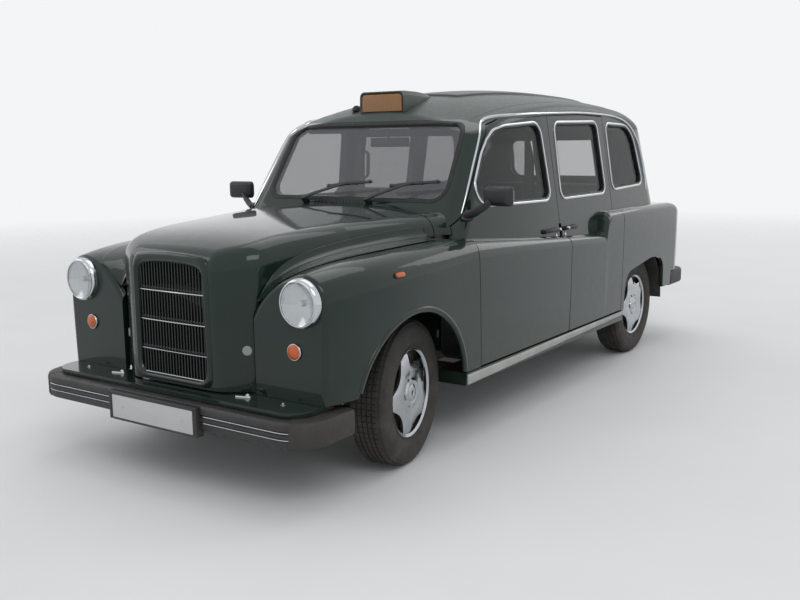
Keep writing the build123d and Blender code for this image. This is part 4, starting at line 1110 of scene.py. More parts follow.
@dataclass
class Lamps:
    """Headlamps, front indicators, side repeaters and tail lamps."""

    head: tuple[float, float, float] = (0.688, -2.060, 0.841)
    indicator: tuple[float, float, float] = (0.643, -2.060, 0.636)
    repeater: tuple[float, float] = (-1.623, 0.914)
    tail_x: float = 0.640
    tail_half: float = 0.040
    tail_border: float = 0.006

    def headlamp(self, side: int) -> None:
        """Make one headlamp: stepped bright rim, dish, bulb shield and ribbed lens."""
        place = axle(sided(self.head, side), (0, -1, 0))
        name = SIDE_NAMES[side]
        rim = [(0.0, 0.0985), (0.002, 0.1040), (0.012, 0.1040), (0.021, 0.1022), (0.027, 0.0985),
               (0.0295, 0.0955), (0.0300, 0.0935), (0.0335, 0.0928), (0.0345, 0.0900), (0.0325, 0.0876),
               (0.0240, 0.0868), (0.0, 0.0868)]
        bm = bmesh.new()
        spin_into(bm, rim, place, 72)
        screw = axle(sided((self.head[0], self.head[1] - 0.020, self.head[2] + 0.1005), side), (0, -1, 0))
        spin_into(bm, [(0, 0.0001), (0.008, 0.0001), (0.009, 0.0016), (0.008, 0.0034), (0, 0.0036)], screw,
                  12)
        add_node(f"headlamp_rim_{name}", bm, CHROME)
        radii = (0.0001, 0.015, 0.03, 0.045, 0.06, 0.075, 0.087)
        dish = [(0.0005 + 0.028 * (r / radii[-1]) ** 2, r) for r in radii]
        bm = bmesh.new()
        spin_into(bm, dish, place, 56, closed=False)
        shield = [(0.004, 0.0001), (0.0155, 0.0001), (0.0165, 0.006), (0.0145, 0.0115), (0.004, 0.0130)]
        spin_into(bm, shield, place, 32, closed=False)
        add_node(f"headlamp_dish_{name}", bm, REFLECTOR)
        lens = []
        for step in range(10):
            r = 0.0879 * step / 9
            lens.append((0.0515 - 0.0225 * (r / 0.0879) ** 2, max(r, 0.0001)))
        inner = [(a - 0.0035, r) for a, r in reversed(lens)]
        bm = bmesh.new()
        spin_into(bm, [*lens, *inner], place, 60)
        piece = add_node(f"headlamp_lens_{name}", bm, LENS)
        if side == LEFT:
            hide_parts("headlamps")

    def small_lamp(self, name: str, centre: Vector, out: Vector, radius: float,
                   finish: Finish) -> bpy.types.Object:
        """Make a round lamp with its bezel and a faceted dome.

        Args:
            name: the piece's name.
            centre: the place of its foot.
            out: the direction that it faces.
            radius: its outer radius.
            finish: the lens's finish.

        Returns:
            The lens.
        """
        place = axle(centre, out)
        bm = bmesh.new()
        bezel = [(0.0, radius * 0.90), (0.002, radius), (0.006, radius * 1.0), (0.009, radius * 0.95),
                 (0.0095, radius * 0.88), (0.0, radius * 0.86)]
        spin_into(bm, bezel, place, 40)
        add_node(f"{name}_bezel", bm, CHROME)
        dome = [(0.001, radius * 0.87), (0.010, radius * 0.87), (0.0125, radius * 0.84)]
        for step in range(6):
            share = 1 - (step + 1) / 6
            dome.append((0.0125 + 0.0105 * (1 - share**2), max(radius * 0.84 * share, 0.0001)))
        bm = bmesh.new()
        spin_into(bm, dome, place, 40, closed=False)
        return add_node(f"{name}_lens", bm, finish)

    def repeater_lamp(self, side: int, skin: Skin) -> None:
        """Make the small long lamp on a front wing's side."""
        name = SIDE_NAMES[side]
        found = skin.hit(*from_left(self.repeater))
        if not found:
            return
        centre, normal = found
        place = facing(sided(centre, side), sided(normal, side))
        outline = rounded(oblong((-0.029, -0.0105), (0.029, 0.0105)), 0.0102, 6)
        bm = bmesh.new()
        slab_into(bm, grown(outline, 0.003), 0.004, place, 0.0015)
        add_node(f"repeater_seat_{name}", bm, RUBBER)
        bm = bmesh.new()
        slab_into(bm, outline, 0.014, place, 0.006, 4)
        add_node(f"repeater_lens_{name}", bm, AMBER)

    def tail_lamp(self, side: int) -> None:
        """Make an upright tail lamp with its three fields."""
        name = SIDE_NAMES[side]
        low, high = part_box("tail_lamps")
        half, border = self.tail_half, self.tail_border
        place = facing((side * self.tail_x, high.y - 0.032, 0), (0, 1, 0))
        bm = bmesh.new()
        corners = oblong((-half - border, low.z - border), (half + border, high.z + border))
        slab_into(bm, rounded(corners, 0.020), 0.011, place, 0.004)
        add_node(f"tail_lamp_frame_{name}", bm, CHROME)
        step = (high.z - low.z) / 3
        for index, finish in enumerate((LENS, RED, AMBER)):
            bottom = low.z + step * index + 0.002
            bm = bmesh.new()
            corners = oblong((-half, bottom), (half, bottom + step - 0.004))
            slab_into(bm, rounded(corners, 0.009), 0.031, place, 0.012, 4)
            piece = add_node(f"tail_lamp_field_{index}_{name}", bm, finish)
            if side == LEFT and index == 1:
                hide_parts("tail_lamps")

    def make(self, wing: Skin) -> None:
        """Make all the lamps.

        Args:
            wing: the front wings' surface.
        """
        for side in (LEFT, RIGHT):
            name = SIDE_NAMES[side]
            self.headlamp(side)
            lens = self.small_lamp(f"indicator_{name}", sided(self.indicator, side), Vector((0, -1, 0)),
                                   0.0365, AMBER)
            if side == LEFT:
                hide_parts("front_indicators")
            self.repeater_lamp(side, wing)
            self.tail_lamp(side)


@dataclass
class Nose:
    """Grille surround and bars, bumper faces, plates and apron bolts."""

    grille_low: float = 0.452
    grille_high: float = 0.988
    grille_half: float = 0.226
    slat_count: int = 22
    slat_inset: float = 0.014
    low_line_half: float = 0.185
    plate_half: float = 0.26
    plug_place: Point2 = (0.378, 0.61)
    nose_y: float = -2.135
    arch: float = 0.017
    shell_rings: tuple[tuple[float, ...], ...] = (
        (0.240, 0.438, 1.003, 0.045, -0.004), (0.239, 0.439, 1.002, 0.058, 0.002),
        (0.233, 0.444, 0.996, 0.075, 0.010), (0.223, 0.452, 0.978, 0.085, 0.013),
        (0.215, 0.460, 0.958, 0.080, 0.007), (0.212, 0.463, 0.952, 0.078, -0.012),
    )

    def outline(self, half: float, low: float, high: float, radius: float) -> list[Point2]:
        """One ring of the grille's shell in front view, with its arched top.

        Args:
            half: its half-width.
            low: its lowest height.
            high: the height of its upper corners.
            radius: the rounding of those corners.

        Returns:
            The ring.
        """
        corners = [(-half, low), (half, low), (half - 0.006, high), (half * 0.5, high + self.arch * 0.75),
                   (0, high + self.arch), (-half * 0.5, high + self.arch * 0.75), (-half + 0.006, high)]
        return rounded(corners, [radius * 0.7, radius * 0.7, radius, 0.3, 0.3, 0.3, radius], 8)

    def surround(self) -> None:
        """Make the painted rolled shell, the bright lower line and the three bars."""
        bm = bmesh.new()
        loft_into(bm, ([(x, self.nose_y - rise, z) for x, z in self.outline(half, low, high, radius)]
                       for half, low, high, radius, rise in self.shell_rings))
        add_node("grille_shell", bm, PAINT, Body.BONNET.on(), 60)
        low = self.shell_rings[-1][1] + 0.004
        path = [Vector((self.low_line_half * (i / 6 - 1), self.nose_y + 0.001, low)) for i in range(13)]
        bm = bmesh.new()
        tube_into(bm, path, 0.0034, 8)
        rise = (self.grille_high - self.grille_low) / 4
        for index in (1, 2, 3):
            z = self.grille_low + rise * index - 0.012
            half = self.grille_half - 0.012
            bow = [0.0045 - 0.004 * (1 - (i / 6 - 1) ** 2) for i in range(13)]
            path = [Vector((half * (i / 12 * 2 - 1), self.nose_y + bow[i], z)) for i in range(13)]
            tube_into(bm, path, 0.0028, 8)
        add_node("grille_bars", bm, CHROME, Body.BONNET.on())

    def slats(self) -> None:
        """Make the fin on the front of each slat."""
        bm = bmesh.new()
        pitch = 2 * (self.grille_half - self.slat_inset) / (self.slat_count + 1)
        for index in range(1, self.slat_count + 1):
            x = -(self.grille_half - self.slat_inset) + pitch * index
            half = (self.grille_high - self.grille_low) / 2 - self.slat_inset
            middle = (self.grille_high + self.grille_low) / 2
            path = [Vector((x, self.nose_y + 0.0065, middle + half * (i / 6 - 1))) for i in range(13)]
            profile = [(0.0035, 0.0), (0.0012, 0.0030), (-0.004, 0.0034), (-0.004, -0.0034),
                       (0.0012, -0.0030)]
            sweep_into(bm, path, [Vector((0, -1, 0))] * len(path), profile)
        add_node("grille_fins", bm, GRILLE, Body.BONNET.on(), 30)

    def plug(self, x: float, z: float, skin: Skin, name: str, body: str) -> None:
        """Make a round blanking plug on the nose."""
        found = skin.hit(*from_front((x, z)))
        if not found:
            return
        bm = bmesh.new()
        profile = [(-0.004, 0.0001), (-0.004, 0.021), (0.001, 0.0215), (0.003, 0.0195), (0.0036, 0.012),
                   (0.0032, 0.0001)]
        spin_into(bm, profile, axle(found[0], found[1]), 28, closed=False)
        add_node(name, bm, PLUG, body)

    def bumper_path(self, face_y: float, reach: float, end_y: float, radius: float) -> list[Point2]:
        """The line of a bumper's face in plan view."""
        corners = [(reach, end_y), (reach, face_y), (-reach, face_y), (-reach, end_y)]
        return dense(rounded(corners, radius, 12, closed=False), 0.09, closed=False)

    def bumper(self, name: str, node: str, face_y: float, reach: float, end_y: float, low: float, high: float
               ) -> None:
        """Make one bumper: moulded bar, two bright lines and its end caps.

        Args:
            name: the start of the pieces' names.
            node: the frame node that it stands for.
            face_y: the place of its face.
            reach: its half-width.
            end_y: how far its ends reach.
            low: its lowest height.
            high: its highest height.
        """
        heading = 1 if face_y < 0 else -1
        middle = (low + high) / 2
        half = (high - low) / 2
        points = self.bumper_path(face_y, reach, end_y, 0.175)
        path = [Vector((x, y, middle)) for x, y in points]
        outs = []
        for index in range(len(points)):
            a = Vector(points[max(index - 1, 0)])
            b = Vector(points[min(index + 1, len(points) - 1)])
            along = (b - a).normalized()
            out = Vector((along.y, -along.x, 0))
            outs.append(out if out.dot(Vector((points[index][0], heading * -1.0, 0))) > 0 else -out)
        sense = 1 if frames_along(path, outs, False)[0].to_3x3().col[1].z > 0 else -1
        bar = [(-0.088, -0.80), (-0.088, 0.92), (-0.080, 1.0), (-0.030, 1.0), (-0.024, 0.97), (-0.018, 1.0),
               (-0.010, 0.94), (-0.004, 0.80), (-0.002, 0.60), (-0.0025, 0.36), (-0.009, 0.30),
               (-0.009, 0.14), (-0.002, 0.08), (-0.002, -0.16), (-0.009, -0.22), (-0.009, -0.36),
               (-0.004, -0.44), (-0.007, -0.86), (-0.013, -0.97), (-0.022, -1.0), (-0.030, -0.94),
               (-0.030, -0.80)]
        profile = [(a, sense * b * half) for a, b in bar]
        bm = bmesh.new()
        sweep_into(bm, path, outs, profile)
        piece = add_node(f"{name}_bar", bm, PLASTIC, sharp=30)
        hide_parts(node)
        bm = bmesh.new()
        inner = [i for i, p in enumerate(points) if abs(p[0]) < reach - 0.075]
        for level in (0.22, -0.29):
            line = [path[i] + Vector((0, 0, level * half)) for i in inner]
            strip = [(a - 0.0095, sense * b) for a, b in strip_profile(0.0065, 0.0060)]
            sweep_into(bm, line, [outs[i] for i in inner], strip)
        add_node(f"{name}_lines", bm, CHROME)
        cap = [(-0.0885, -0.86), (-0.0885, 0.98), (-0.078, 1.03), (-0.018, 1.03), (-0.006, 0.95), (0.0, 0.70),
               (0.0, -0.74), (-0.006, -0.95), (-0.020, -1.03), (-0.034, -0.98), (-0.034, -0.86)]
        for side in (LEFT, RIGHT):
            ends = [i for i, p in enumerate(points) if side * p[0] > reach - 0.108]
            bm = bmesh.new()
            sweep_into(bm, [path[i] for i in ends], [outs[i] for i in ends],
                       [(a, sense * b * half) for a, b in cap])
            rims = [e for e in bm.edges
                    if len(e.link_faces) == 2 and any(len(f.verts) > 4 for f in e.link_faces)]
            bmesh.ops.bevel(bm, geom=rims, offset=0.005, segments=3, profile=0.5, affect="EDGES", material=-1)
            add_node(f"{name}_cap_{SIDE_NAMES[side]}", bm, END_CAP, sharp=40)

    def plates(self) -> None:
        """Make the blank front plate with its black frame, hood and caps."""
        low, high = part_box("front_plate")
        place = facing((0, low.y + 0.012, 0), (0, -1, 0))
        half = self.plate_half
        corners = oblong((-half, low.z), (half, high.z))
        bm = bmesh.new()
        slab_into(bm, rounded(corners, 0.006), 0.010, place, 0.001)
        plate = add_node("front_plate_face", bm, PLATE)
        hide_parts("front_plate")
        bm = bmesh.new()
        path = [Vector((x, low.y + 0.008, z)) for x, z in dense(rounded(corners, 0.008), 0.06)]
        sweep_into(bm, path, [Vector((0, -1, 0))] * len(path),
                   [(-0.020, -0.006), (-0.020, 0.006), (0.006, 0.006), (0.008, 0.002), (0.006, -0.004)],
                   closed=True)
        block_into(bm, (-half - 0.012, low.y + 0.012, low.z + 0.004),
                   (half + 0.012, low.y + 0.034, high.z + 0.004), 0.004)
        block_into(bm, (-half - 0.020, low.y + 0.000, high.z + 0.003),
                   (half + 0.020, low.y + 0.052, high.z + 0.013), 0.004)
        for x in (-0.272, 0.272):
            block_into(bm, (x - 0.006, low.y + 0.001, low.z - 0.006),
                       (x + 0.006, low.y + 0.045, high.z + 0.004), 0.003)
        add_node("front_plate_frame", bm, PLASTIC)
        bm = bmesh.new()
        for x in (-0.19, 0.19):
            spin_into(bm, [(0, 0.0001), (0, 0.006), (0.002, 0.0058), (0.0032, 0.003), (0.0034, 0.0001)],
                      axle((x, low.y + 0.002, (low.z + high.z) / 2), (0, -1, 0)), 16, closed=False)
        add_node("front_plate_caps", bm, PLATE)

    def bolts(self, apron: Skin) -> None:
        """Make the bright bolt heads on the painted apron."""
        bm = bmesh.new()
        for x in (-0.62, 0.62):
            found = apron.hit(*from_above((x, -2.115)))
            if not found:
                continue
            place = axle(found[0], found[1])
            spin_into(bm, [(0, 0.0001), (0, 0.0125), (0.0018, 0.0125), (0.0022, 0.009), (0.0024, 0.0001)],
                      place, 24, closed=False)
            spin_into(bm, [(0.002, 0.0001), (0.002, 0.0082), (0.0075, 0.0080), (0.0085, 0.0066),
                           (0.0088, 0.0001)],
                      place, 6, closed=False)
        for x in (-0.40, 0.40):
            found = apron.hit(*from_above((x, -2.120)))
            if not found:
                continue
            catch = turned(found[0], 18, "Z")
            outline = rounded([(-0.036, -0.006), (0.030, -0.010), (0.038, 0.0), (0.030, 0.010),
                               (-0.036, 0.006)], 0.005, 4)
            slab_into(bm, outline, 0.007, catch, 0.0025)
            spin_into(bm, [(0, 0.0001), (0, 0.011), (0.010, 0.010), (0.013, 0.006), (0.0135, 0.0001)],
                      catch @ axle((0.022, 0, 0.004), (0, 0, 1)), 20, closed=False)
        add_node("apron_bolts", bm, CHROME, sharp=25)

    def make(self, bonnet: Skin, apron: Skin) -> None:
        """Make the whole nose and the rear bumper.

        Args:
            bonnet: the bonnet's surface.
            apron: the apron's surface.
        """
        self.surround()
        self.slats()
        for side, name in SIDE_NAMES.items():
            self.plug(side * self.plug_place[0], self.plug_place[1], bonnet, f"nose_plug_{name}",
                      Body.BONNET.on())
        low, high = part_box("front_bumper")
        self.bumper("front_bumper", "front_bumper", low.y + 0.001, high.x - 0.001, high.y, low.z + 0.001,
                    high.z - 0.001)
        low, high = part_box("rear_bumper")
        self.bumper("rear_bumper", "rear_bumper", high.y - 0.001, high.x - 0.001, 1.89, 0.409, 0.511)
        self.plates()
        self.bolts(apron)


# Glazing, rails and strips


def smooth_line(points: Sequence[Point2], pitch: float) -> list[Point2]:
    """Draw a smooth line through points, by Catmull-Rom runs.

    Args:
        points: the points.
        pitch: the longest run that is left.

    Returns:
        The smooth line.
    """
    pts = [Vector(p) for p in points]
    pts = [pts[0] * 2 - pts[1], *pts, pts[-1] * 2 - pts[-2]]
    out: list[Point2] = []
    for a, b, c, d in zip(pts, pts[1:], pts[2:], pts[3:]):
        runs = max(2, math.ceil((c - b).length / pitch))
        for step in range(runs):
            t = step / runs
            spot = 0.5 * ((2 * b) + (c - a) * t + (2 * a - 5 * b + 4 * c - d) * t**2
                          + (3 * b - a - 3 * c + d) * t**3)
            out.append((spot.x, spot.y))
    out.append((pts[-2].x, pts[-2].y))
    return out


def interpolated(rows: Sequence[Point2], at: float) -> float:
    """Read a value between the rows of a table.

    Args:
        rows: rising places with their values.
        at: the place.

    Returns:
        The value there.
    """
    for (a, first), (b, second) in zip(rows, rows[1:]):
        if at <= b:
            return first + (second - first) * max(0.0, (at - a) / (b - a))
    return rows[-1][1]


def calmed(values: Sequence[Vector], passes: int = 6) -> list[Vector]:
    """Even out how far a traced line stands out, and keep its line in side view.

    Args:
        values: places or directions along the line.
        passes: how often neighbours are averaged.

    Returns:
        The evened values.
    """
    outs = [v.x for v in values]
    for _ in range(passes):
        outs = [(outs[max(i - 1, 0)] + 2 * x + outs[min(i + 1, len(outs) - 1)]) / 4 for i,
                x in enumerate(outs)]
    return [Vector((x, v.y, v.z)) for x, v in zip(outs, values)]


@dataclass
class Glazing:
    """Bright frames and black seals round every window, and the drip rails."""

    shell: Skin
    panes: Skin
    drip: tuple[Point2, ...] = ((-0.843, 1.118), (-0.722, 1.300), (-0.603, 1.476), (-0.545, 1.545),
                                (-0.470, 1.586), (-0.370, 1.604), (-0.150, 1.618), (0.136, 1.629),
                                (0.566, 1.640), (0.999, 1.634), (1.200, 1.616), (1.330, 1.585),
                                (1.430, 1.530), (1.510, 1.440), (1.555, 1.320), (1.571, 1.220),
                                (1.573, 1.122))

    def lay(self, points: Iterable[Point2], lift: Callable) -> tuple[list[Vector], list[Vector]]:
        """Lay an outline on the shell, or level with it where it crosses a side window's pane.

        Args:
            points: the outline.
            lift: gives the rays that find the surface.

        Returns:
            The places and their normals.
        """
        places, normals = [], []
        for point in points:
            found = self.shell.hit(*lift(point))
            if lift is from_left and (not found or found[0].x < 0.4):
                found = self.panes.hit(*lift(point))
                found = found and (found[0] + found[1] * GLASS_DEPTH, found[1])
            if found:
                places.append(found[0])
                normals.append(found[1])
        return places, normals

    def mask(self, side: int) -> None:
        """Fill the front door's square window corners with a painted plate, up to its rounder frame."""
        bm = bmesh.new()
        loops: list[list[bmesh.types.BMEdge]] = []
        for outline, margin, rise in ((FRONT_WINDOW, 0.004, 0.0004), (FRONT_WINDOW, 0.001, 0.0012),
                                      (FRONT_FRAME, -0.001, 0.0012), (FRONT_FRAME, -0.002, -0.009)):
            places, normals = self.lay(grown(outline, margin), from_left)
            ring = [bm.verts.new(sided(p + n * rise, side)) for p, n in zip(places, normals)]
            loops.append([bm.edges.new((ring[i - 1], ring[i])) for i in range(len(ring))])
        for first, second in zip(loops, loops[1:]):
            bmesh.ops.bridge_loops(bm, edges=[*first, *second])
        name = SIDE_NAMES[side]
        add_node(f"window_corner_{name}", bm, PAINT, Body.FRONT_DOOR.on(side), 40)

    def ring(self, name: str, outline: Sequence[Point2], lift: Callable, margin: float,
             profile: Sequence[Point2], finish: Finish, body: str, side: int = LEFT,
             pitch: float = 0.05) -> None:
        """Sweep a closed strip along an outline on the shell.

        Args:
            name: the piece's name.
            outline: the window's outline.
            lift: gives the rays that find the surface.
            margin: how far the outline is grown.
            profile: the strip's profile.
            finish: its finish.
            body: the body that it rides on.
            side: LEFT or RIGHT.
            pitch: the longest run.
        """
        places, normals = self.lay(dense(grown(outline, margin), pitch), lift)
        if side == RIGHT:
            places = [sided(p, RIGHT) for p in places]
            normals = [sided(n, RIGHT) for n in normals]
        bm = bmesh.new()
        sweep_into(bm, places, normals, profile, closed=True)
        add_node(name, bm, finish, body, 40)

    def window(self, name: str, outline: Sequence[Point2], lift: Callable, body: str, side: int = LEFT,
               bright: bool = True) -> None:
        """Dress one window with its seal and, outside it, a bright frame."""
        seal = [(-0.016, -0.004), (-0.016, 0.008), (0.0015, 0.010), (0.004, 0.006), (0.004, -0.002),
                (-0.006, -0.007)]
        wide = [(a, b * 1.7) for a, b in seal]
        self.ring(f"seal_{name}", outline, lift, 0.0045, wide if not bright else seal, RUBBER, body, side)
        if bright:
            self.ring(f"frame_{name}", outline, lift, 0.0135, strip_profile(0.0125, 0.0062), CHROME, body,
                      side)
            self.ring(f"bead_{name}", outline, lift, 0.0015,
                      [(a + 0.0015, b) for a, b in circle_profile(0.0026, 8)],
                      CHROME, body, side)

    def rail(self, side: int) -> None:
        """Make the bright drip rail of one side."""
        name = SIDE_NAMES[side]
        places, normals = self.shell.trace(smooth_line(self.drip, 0.04), from_left)
        places, normals = calmed(places), calmed(normals)
        places = [sided(p, side) for p in places]
        normals = [sided(n, side) for n in normals]
        bm = bmesh.new()
        profile = [(-0.003, -0.0075), (0.006, -0.0075), (0.0125, -0.0045), (0.0135, 0.0), (0.0125, 0.0045),
                   (0.006, 0.0075), (-0.003, 0.0075)]
        sweep_into(bm, places, normals, profile, scale=lambda t: 0.35 + 0.65 * min(1.0, t * 24, (1 - t) * 24))
        add_node(f"drip_rail_{name}", bm, CHROME, sharp=45)

    def make(self) -> None:
        """Dress all the windows."""
        for side in (LEFT, RIGHT):
            name = SIDE_NAMES[side]
            self.mask(side)
            self.window(f"front_{name}", FRONT_FRAME, from_left, Body.FRONT_DOOR.on(side), side)
            self.window(f"rear_{name}", REAR_WINDOW, from_left, Body.REAR_DOOR.on(side), side)
            self.window(f"quarter_{name}", QUARTER_WINDOW, from_left, Body.CAB.on(), side)
            self.rail(side)
        self.window("windscreen", WINDSCREEN, from_front, Body.CAB.on(), bright=False)
        self.window("back", BACK_WINDOW, from_rear, Body.CAB.on(), bright=False)
        # A pale glowing sheet just behind the windscreen's face: painted reflection of the sky
        screen = Skin(["fixed_glass", "windscreen_frame"])
        laid_sheet("windscreen_sky_reflection", (-0.588, 1.187), (0.588, 1.565), (24, 10), screen, from_front,
                   -GLASS_DEPTH, SKY_REFLECTION_SHEET,
                   Body.CAB.on(), thickness=0.0)


@dataclass
class Strips:
    """Ribbed sill strips, rolled wheel arch lips and the roof's seams and panel."""

    side_skin: Skin
    roof_skin: Skin
    bonnet_side: tuple[Point2, ...] = ((-2.035, 0.430), (-1.495, 0.508), (-0.998, 0.640))
    shut_line: tuple[Point2, ...] = ((-2.047, 0.570), (-2.00, 0.612), (-1.90, 0.652), (-1.70, 0.690),
                                     (-1.44, 0.715), (-1.20, 0.722), (-1.03, 0.716))
    cove: float = 0.085
    cove_rise: float = 0.060
    skirt_lift: float = 0.0036
    skirt_cells: int = 16
    slab_start: float = -0.12
    slab_length: float = 1.495
    slab_nose_half: float = 0.245
    slab_widening: float = 0.15
    slab_rise: float = 0.0105
    panel_y: float = -1.935
    panel_span: Point2 = (0.456, 0.780)
    panel_foot: float = 0.405
    panel_gap: float = 0.020

    def sill(self, side: int) -> None:
        """Make one tapering sill strip."""
        place = facing((0.8605 * side, 0, 0), (side, 0, 0))
        outline = rounded([(-1.052, 0.304), (0.955, 0.337), (0.955, 0.362), (-1.052, 0.354)],
                          [0.005, 0.010, 0.010, 0.005])
        if side == RIGHT:
            outline = [(-y, z) for y, z in outline]
        bm = bmesh.new()
        slab_into(bm, outline, 0.0075, place, 0.0025)
        add_node(f"sill_strip_{SIDE_NAMES[side]}", bm, SILL)

    def arch(self, side: int) -> None:
        """Make the rolled lip of one front wheel arch."""
        centre = (FRONT_AXLE_Y - 0.035, 0.325)
        points = [(centre[0] + 0.4225 * math.cos(math.radians(t)),
                   centre[1] + 0.4225 * math.sin(math.radians(t)))
                  for t in range(8, 169, 5)]
        points = [(points[0][0], 0.375), *points]
        places, normals = self.side_skin.trace(points, from_left)
        places = [sided(p, side) for p in places]
        normals = [sided(n, side) for n in normals]
        bm = bmesh.new()
        profile = [(-0.012, -0.006), (-0.002, -0.0075), (0.0045, -0.003), (0.0052, 0.004), (0.0025, 0.016),
                   (-0.003, 0.022), (-0.012, 0.020)]
        sense = 1 if side > 0 else -1
        sweep_into(bm, places, normals, [(a, -sense * b) for a, b in profile])
        add_node(f"arch_lip_{SIDE_NAMES[side]}", bm, PAINT, sharp=60)

    def seam(self, name: str, line: Sequence[Point2], lift: Callable, radius: float = 0.0022) -> None:
        """Lay a thin welt on the roof."""
        places, normals = self.roof_skin.trace(smooth_line(line, 0.05), lift)
        bm = bmesh.new()
        for side in (LEFT, RIGHT):
            sweep_into(bm, [sided(p, side) for p in places], [sided(n, side) for n in normals],
                       [(a * 0.7, b) for a, b in circle_profile(radius, 8)])
        add_node(name, bm, ROOF, sharp=60)

    def skirt(self, side: int) -> None:
        """Make the bonnet's hollow flank, which sweeps out over the wing to the shut line."""
        bm = bmesh.new()
        stations = [-2.047, -2.040, -2.025, *[-2.00 + 0.0625 * i for i in range(16)]]
        bmesh.ops.create_grid(bm, x_segments=self.skirt_cells, y_segments=len(stations) - 1, size=0.5)
        missed = []
        for vert in bm.verts:
            share = vert.co.x + 0.5
            y = stations[round((vert.co.y + 0.5) * (len(stations) - 1))]
            inner = interpolated(self.bonnet_side, y)
            outer = interpolated(self.shut_line, y)
            valley = self.side_skin.hit(*from_above((inner + 0.012, y)))
            foot_x = inner + min(self.cove, (outer - inner) * 0.6)
            foot = self.side_skin.hit(*from_above((foot_x, y)))
            if not valley or not foot:
                missed.append(vert)
                continue
            rise = self.cove_rise * min(1.0, (y + 2.075) / 0.12)
            if share < 0.5:
                t = share / 0.5
                start = Vector((inner + 0.0015, y, valley[0].z + rise))
                bend = Vector((inner + 0.006, y, valley[0].z + 0.006))
                end = foot[0] + Vector((0, 0, self.skirt_lift))
                vert.co = start * (1 - t) ** 2 + bend * (2 * t * (1 - t)) + end * t**2
            else:
                t = (share - 0.5) / 0.5
                found = self.side_skin.hit(*from_above((foot_x + (outer - foot_x) * t, y)))
                vert.co = found[0] + Vector((0, 0, self.skirt_lift))
            vert.co = sided(vert.co, side)
        bmesh.ops.delete(bm, geom=missed, context="VERTS")
        inner_verts = [v for v in bm.verts if not v.is_boundary]
        for _ in range(3):
            bmesh.ops.smooth_vert(bm, verts=inner_verts, factor=0.5, use_axis_x=False, use_axis_y=False,
                                  use_axis_z=True)
        name = SIDE_NAMES[side]
        piece = add_node(f"bonnet_skirt_{name}", bm, PAINT, Body.BONNET.on(), 60)
        thicken = piece.modifiers.new("sheet", "SOLIDIFY")
        thicken.thickness = 0.0016
        thicken.offset = 0
        smooth = piece.modifiers.new("smooth", "SUBSURF")
        smooth.levels = smooth.render_levels = 1
        apply_modifiers(piece)

    def roof_slab(self) -> None:
        """Make the raised centre panel of the roof, in its covering."""
        bm = bmesh.new()
        bmesh.ops.create_grid(bm, x_segments=12, y_segments=13, size=1)
        start, length = self.slab_start, self.slab_length
        for vert in bm.verts:
            y = start + length * (vert.co.y + 1) / 2
            x = vert.co.x * (self.slab_nose_half + self.slab_widening * min(1.0, (y - start) / 0.75))
            found = self.roof_skin.hit(*from_above((x, y)))
            vert.co = (x, y, (found[0].z if found else 1.7) + self.slab_rise)
        rim = [e for e in bm.edges if e.is_boundary]
        made = bmesh.ops.extrude_edge_only(bm, edges=rim)["geom"]
        low = [g for g in made if isinstance(g, bmesh.types.BMVert)]
        bmesh.ops.translate(bm, vec=(0, 0, -0.016), verts=low)
        centre = Vector((0, 0.63, 0))
        for vert in low:
            away = (Vector((vert.co.x, vert.co.y, 0)) - centre).normalized()
            vert.co += away * 0.006
        bmesh.ops.bevel(bm, geom=rim, offset=0.005, segments=3, profile=0.5, affect="EDGES", material=-1)
        add_node("roof_centre_panel", bm, ROOF, sharp=50)

    def splash_panel(self, side: int) -> None:
        """Make the dark panel that closes a front wing ahead of its wheel."""
        top = []
        for step in range(15):
            x = self.panel_span[0] + (self.panel_span[1] - self.panel_span[0]) * step / 14
            found = self.side_skin.hit(*from_above((x, self.panel_y)))
            if found:
                top.append((-x, found[0].z - self.panel_gap))
        outline = [(-self.panel_span[0], self.panel_foot), *top, (-self.panel_span[1], self.panel_foot)]
        outline = [(x * side, z) for x, z in outline]
        bm = bmesh.new()
        slab_into(bm, outline, 0.002,
                  facing((0, self.panel_y, 0), (0, -1, 0)) @ Matrix.Scale(-1, 4, (1, 0, 0)))
        add_node(f"splash_panel_{SIDE_NAMES[side]}", bm, CHASSIS)

    def make(self) -> None:
        """Make all the strips."""
        for side in (LEFT, RIGHT):
            self.sill(side)
            self.arch(side)
            self.skirt(side)
            self.splash_panel(side)
        self.roof_slab()
        self.seam("roof_seams",
                  [(0.545, -0.535), (0.560, -0.44), (0.578, -0.30), (0.592, -0.05), (0.600, 0.3),
                   (0.600, 0.8), (0.585, 1.25), (0.560, 1.48)], from_above)


# Door furniture, wipers and roof sign


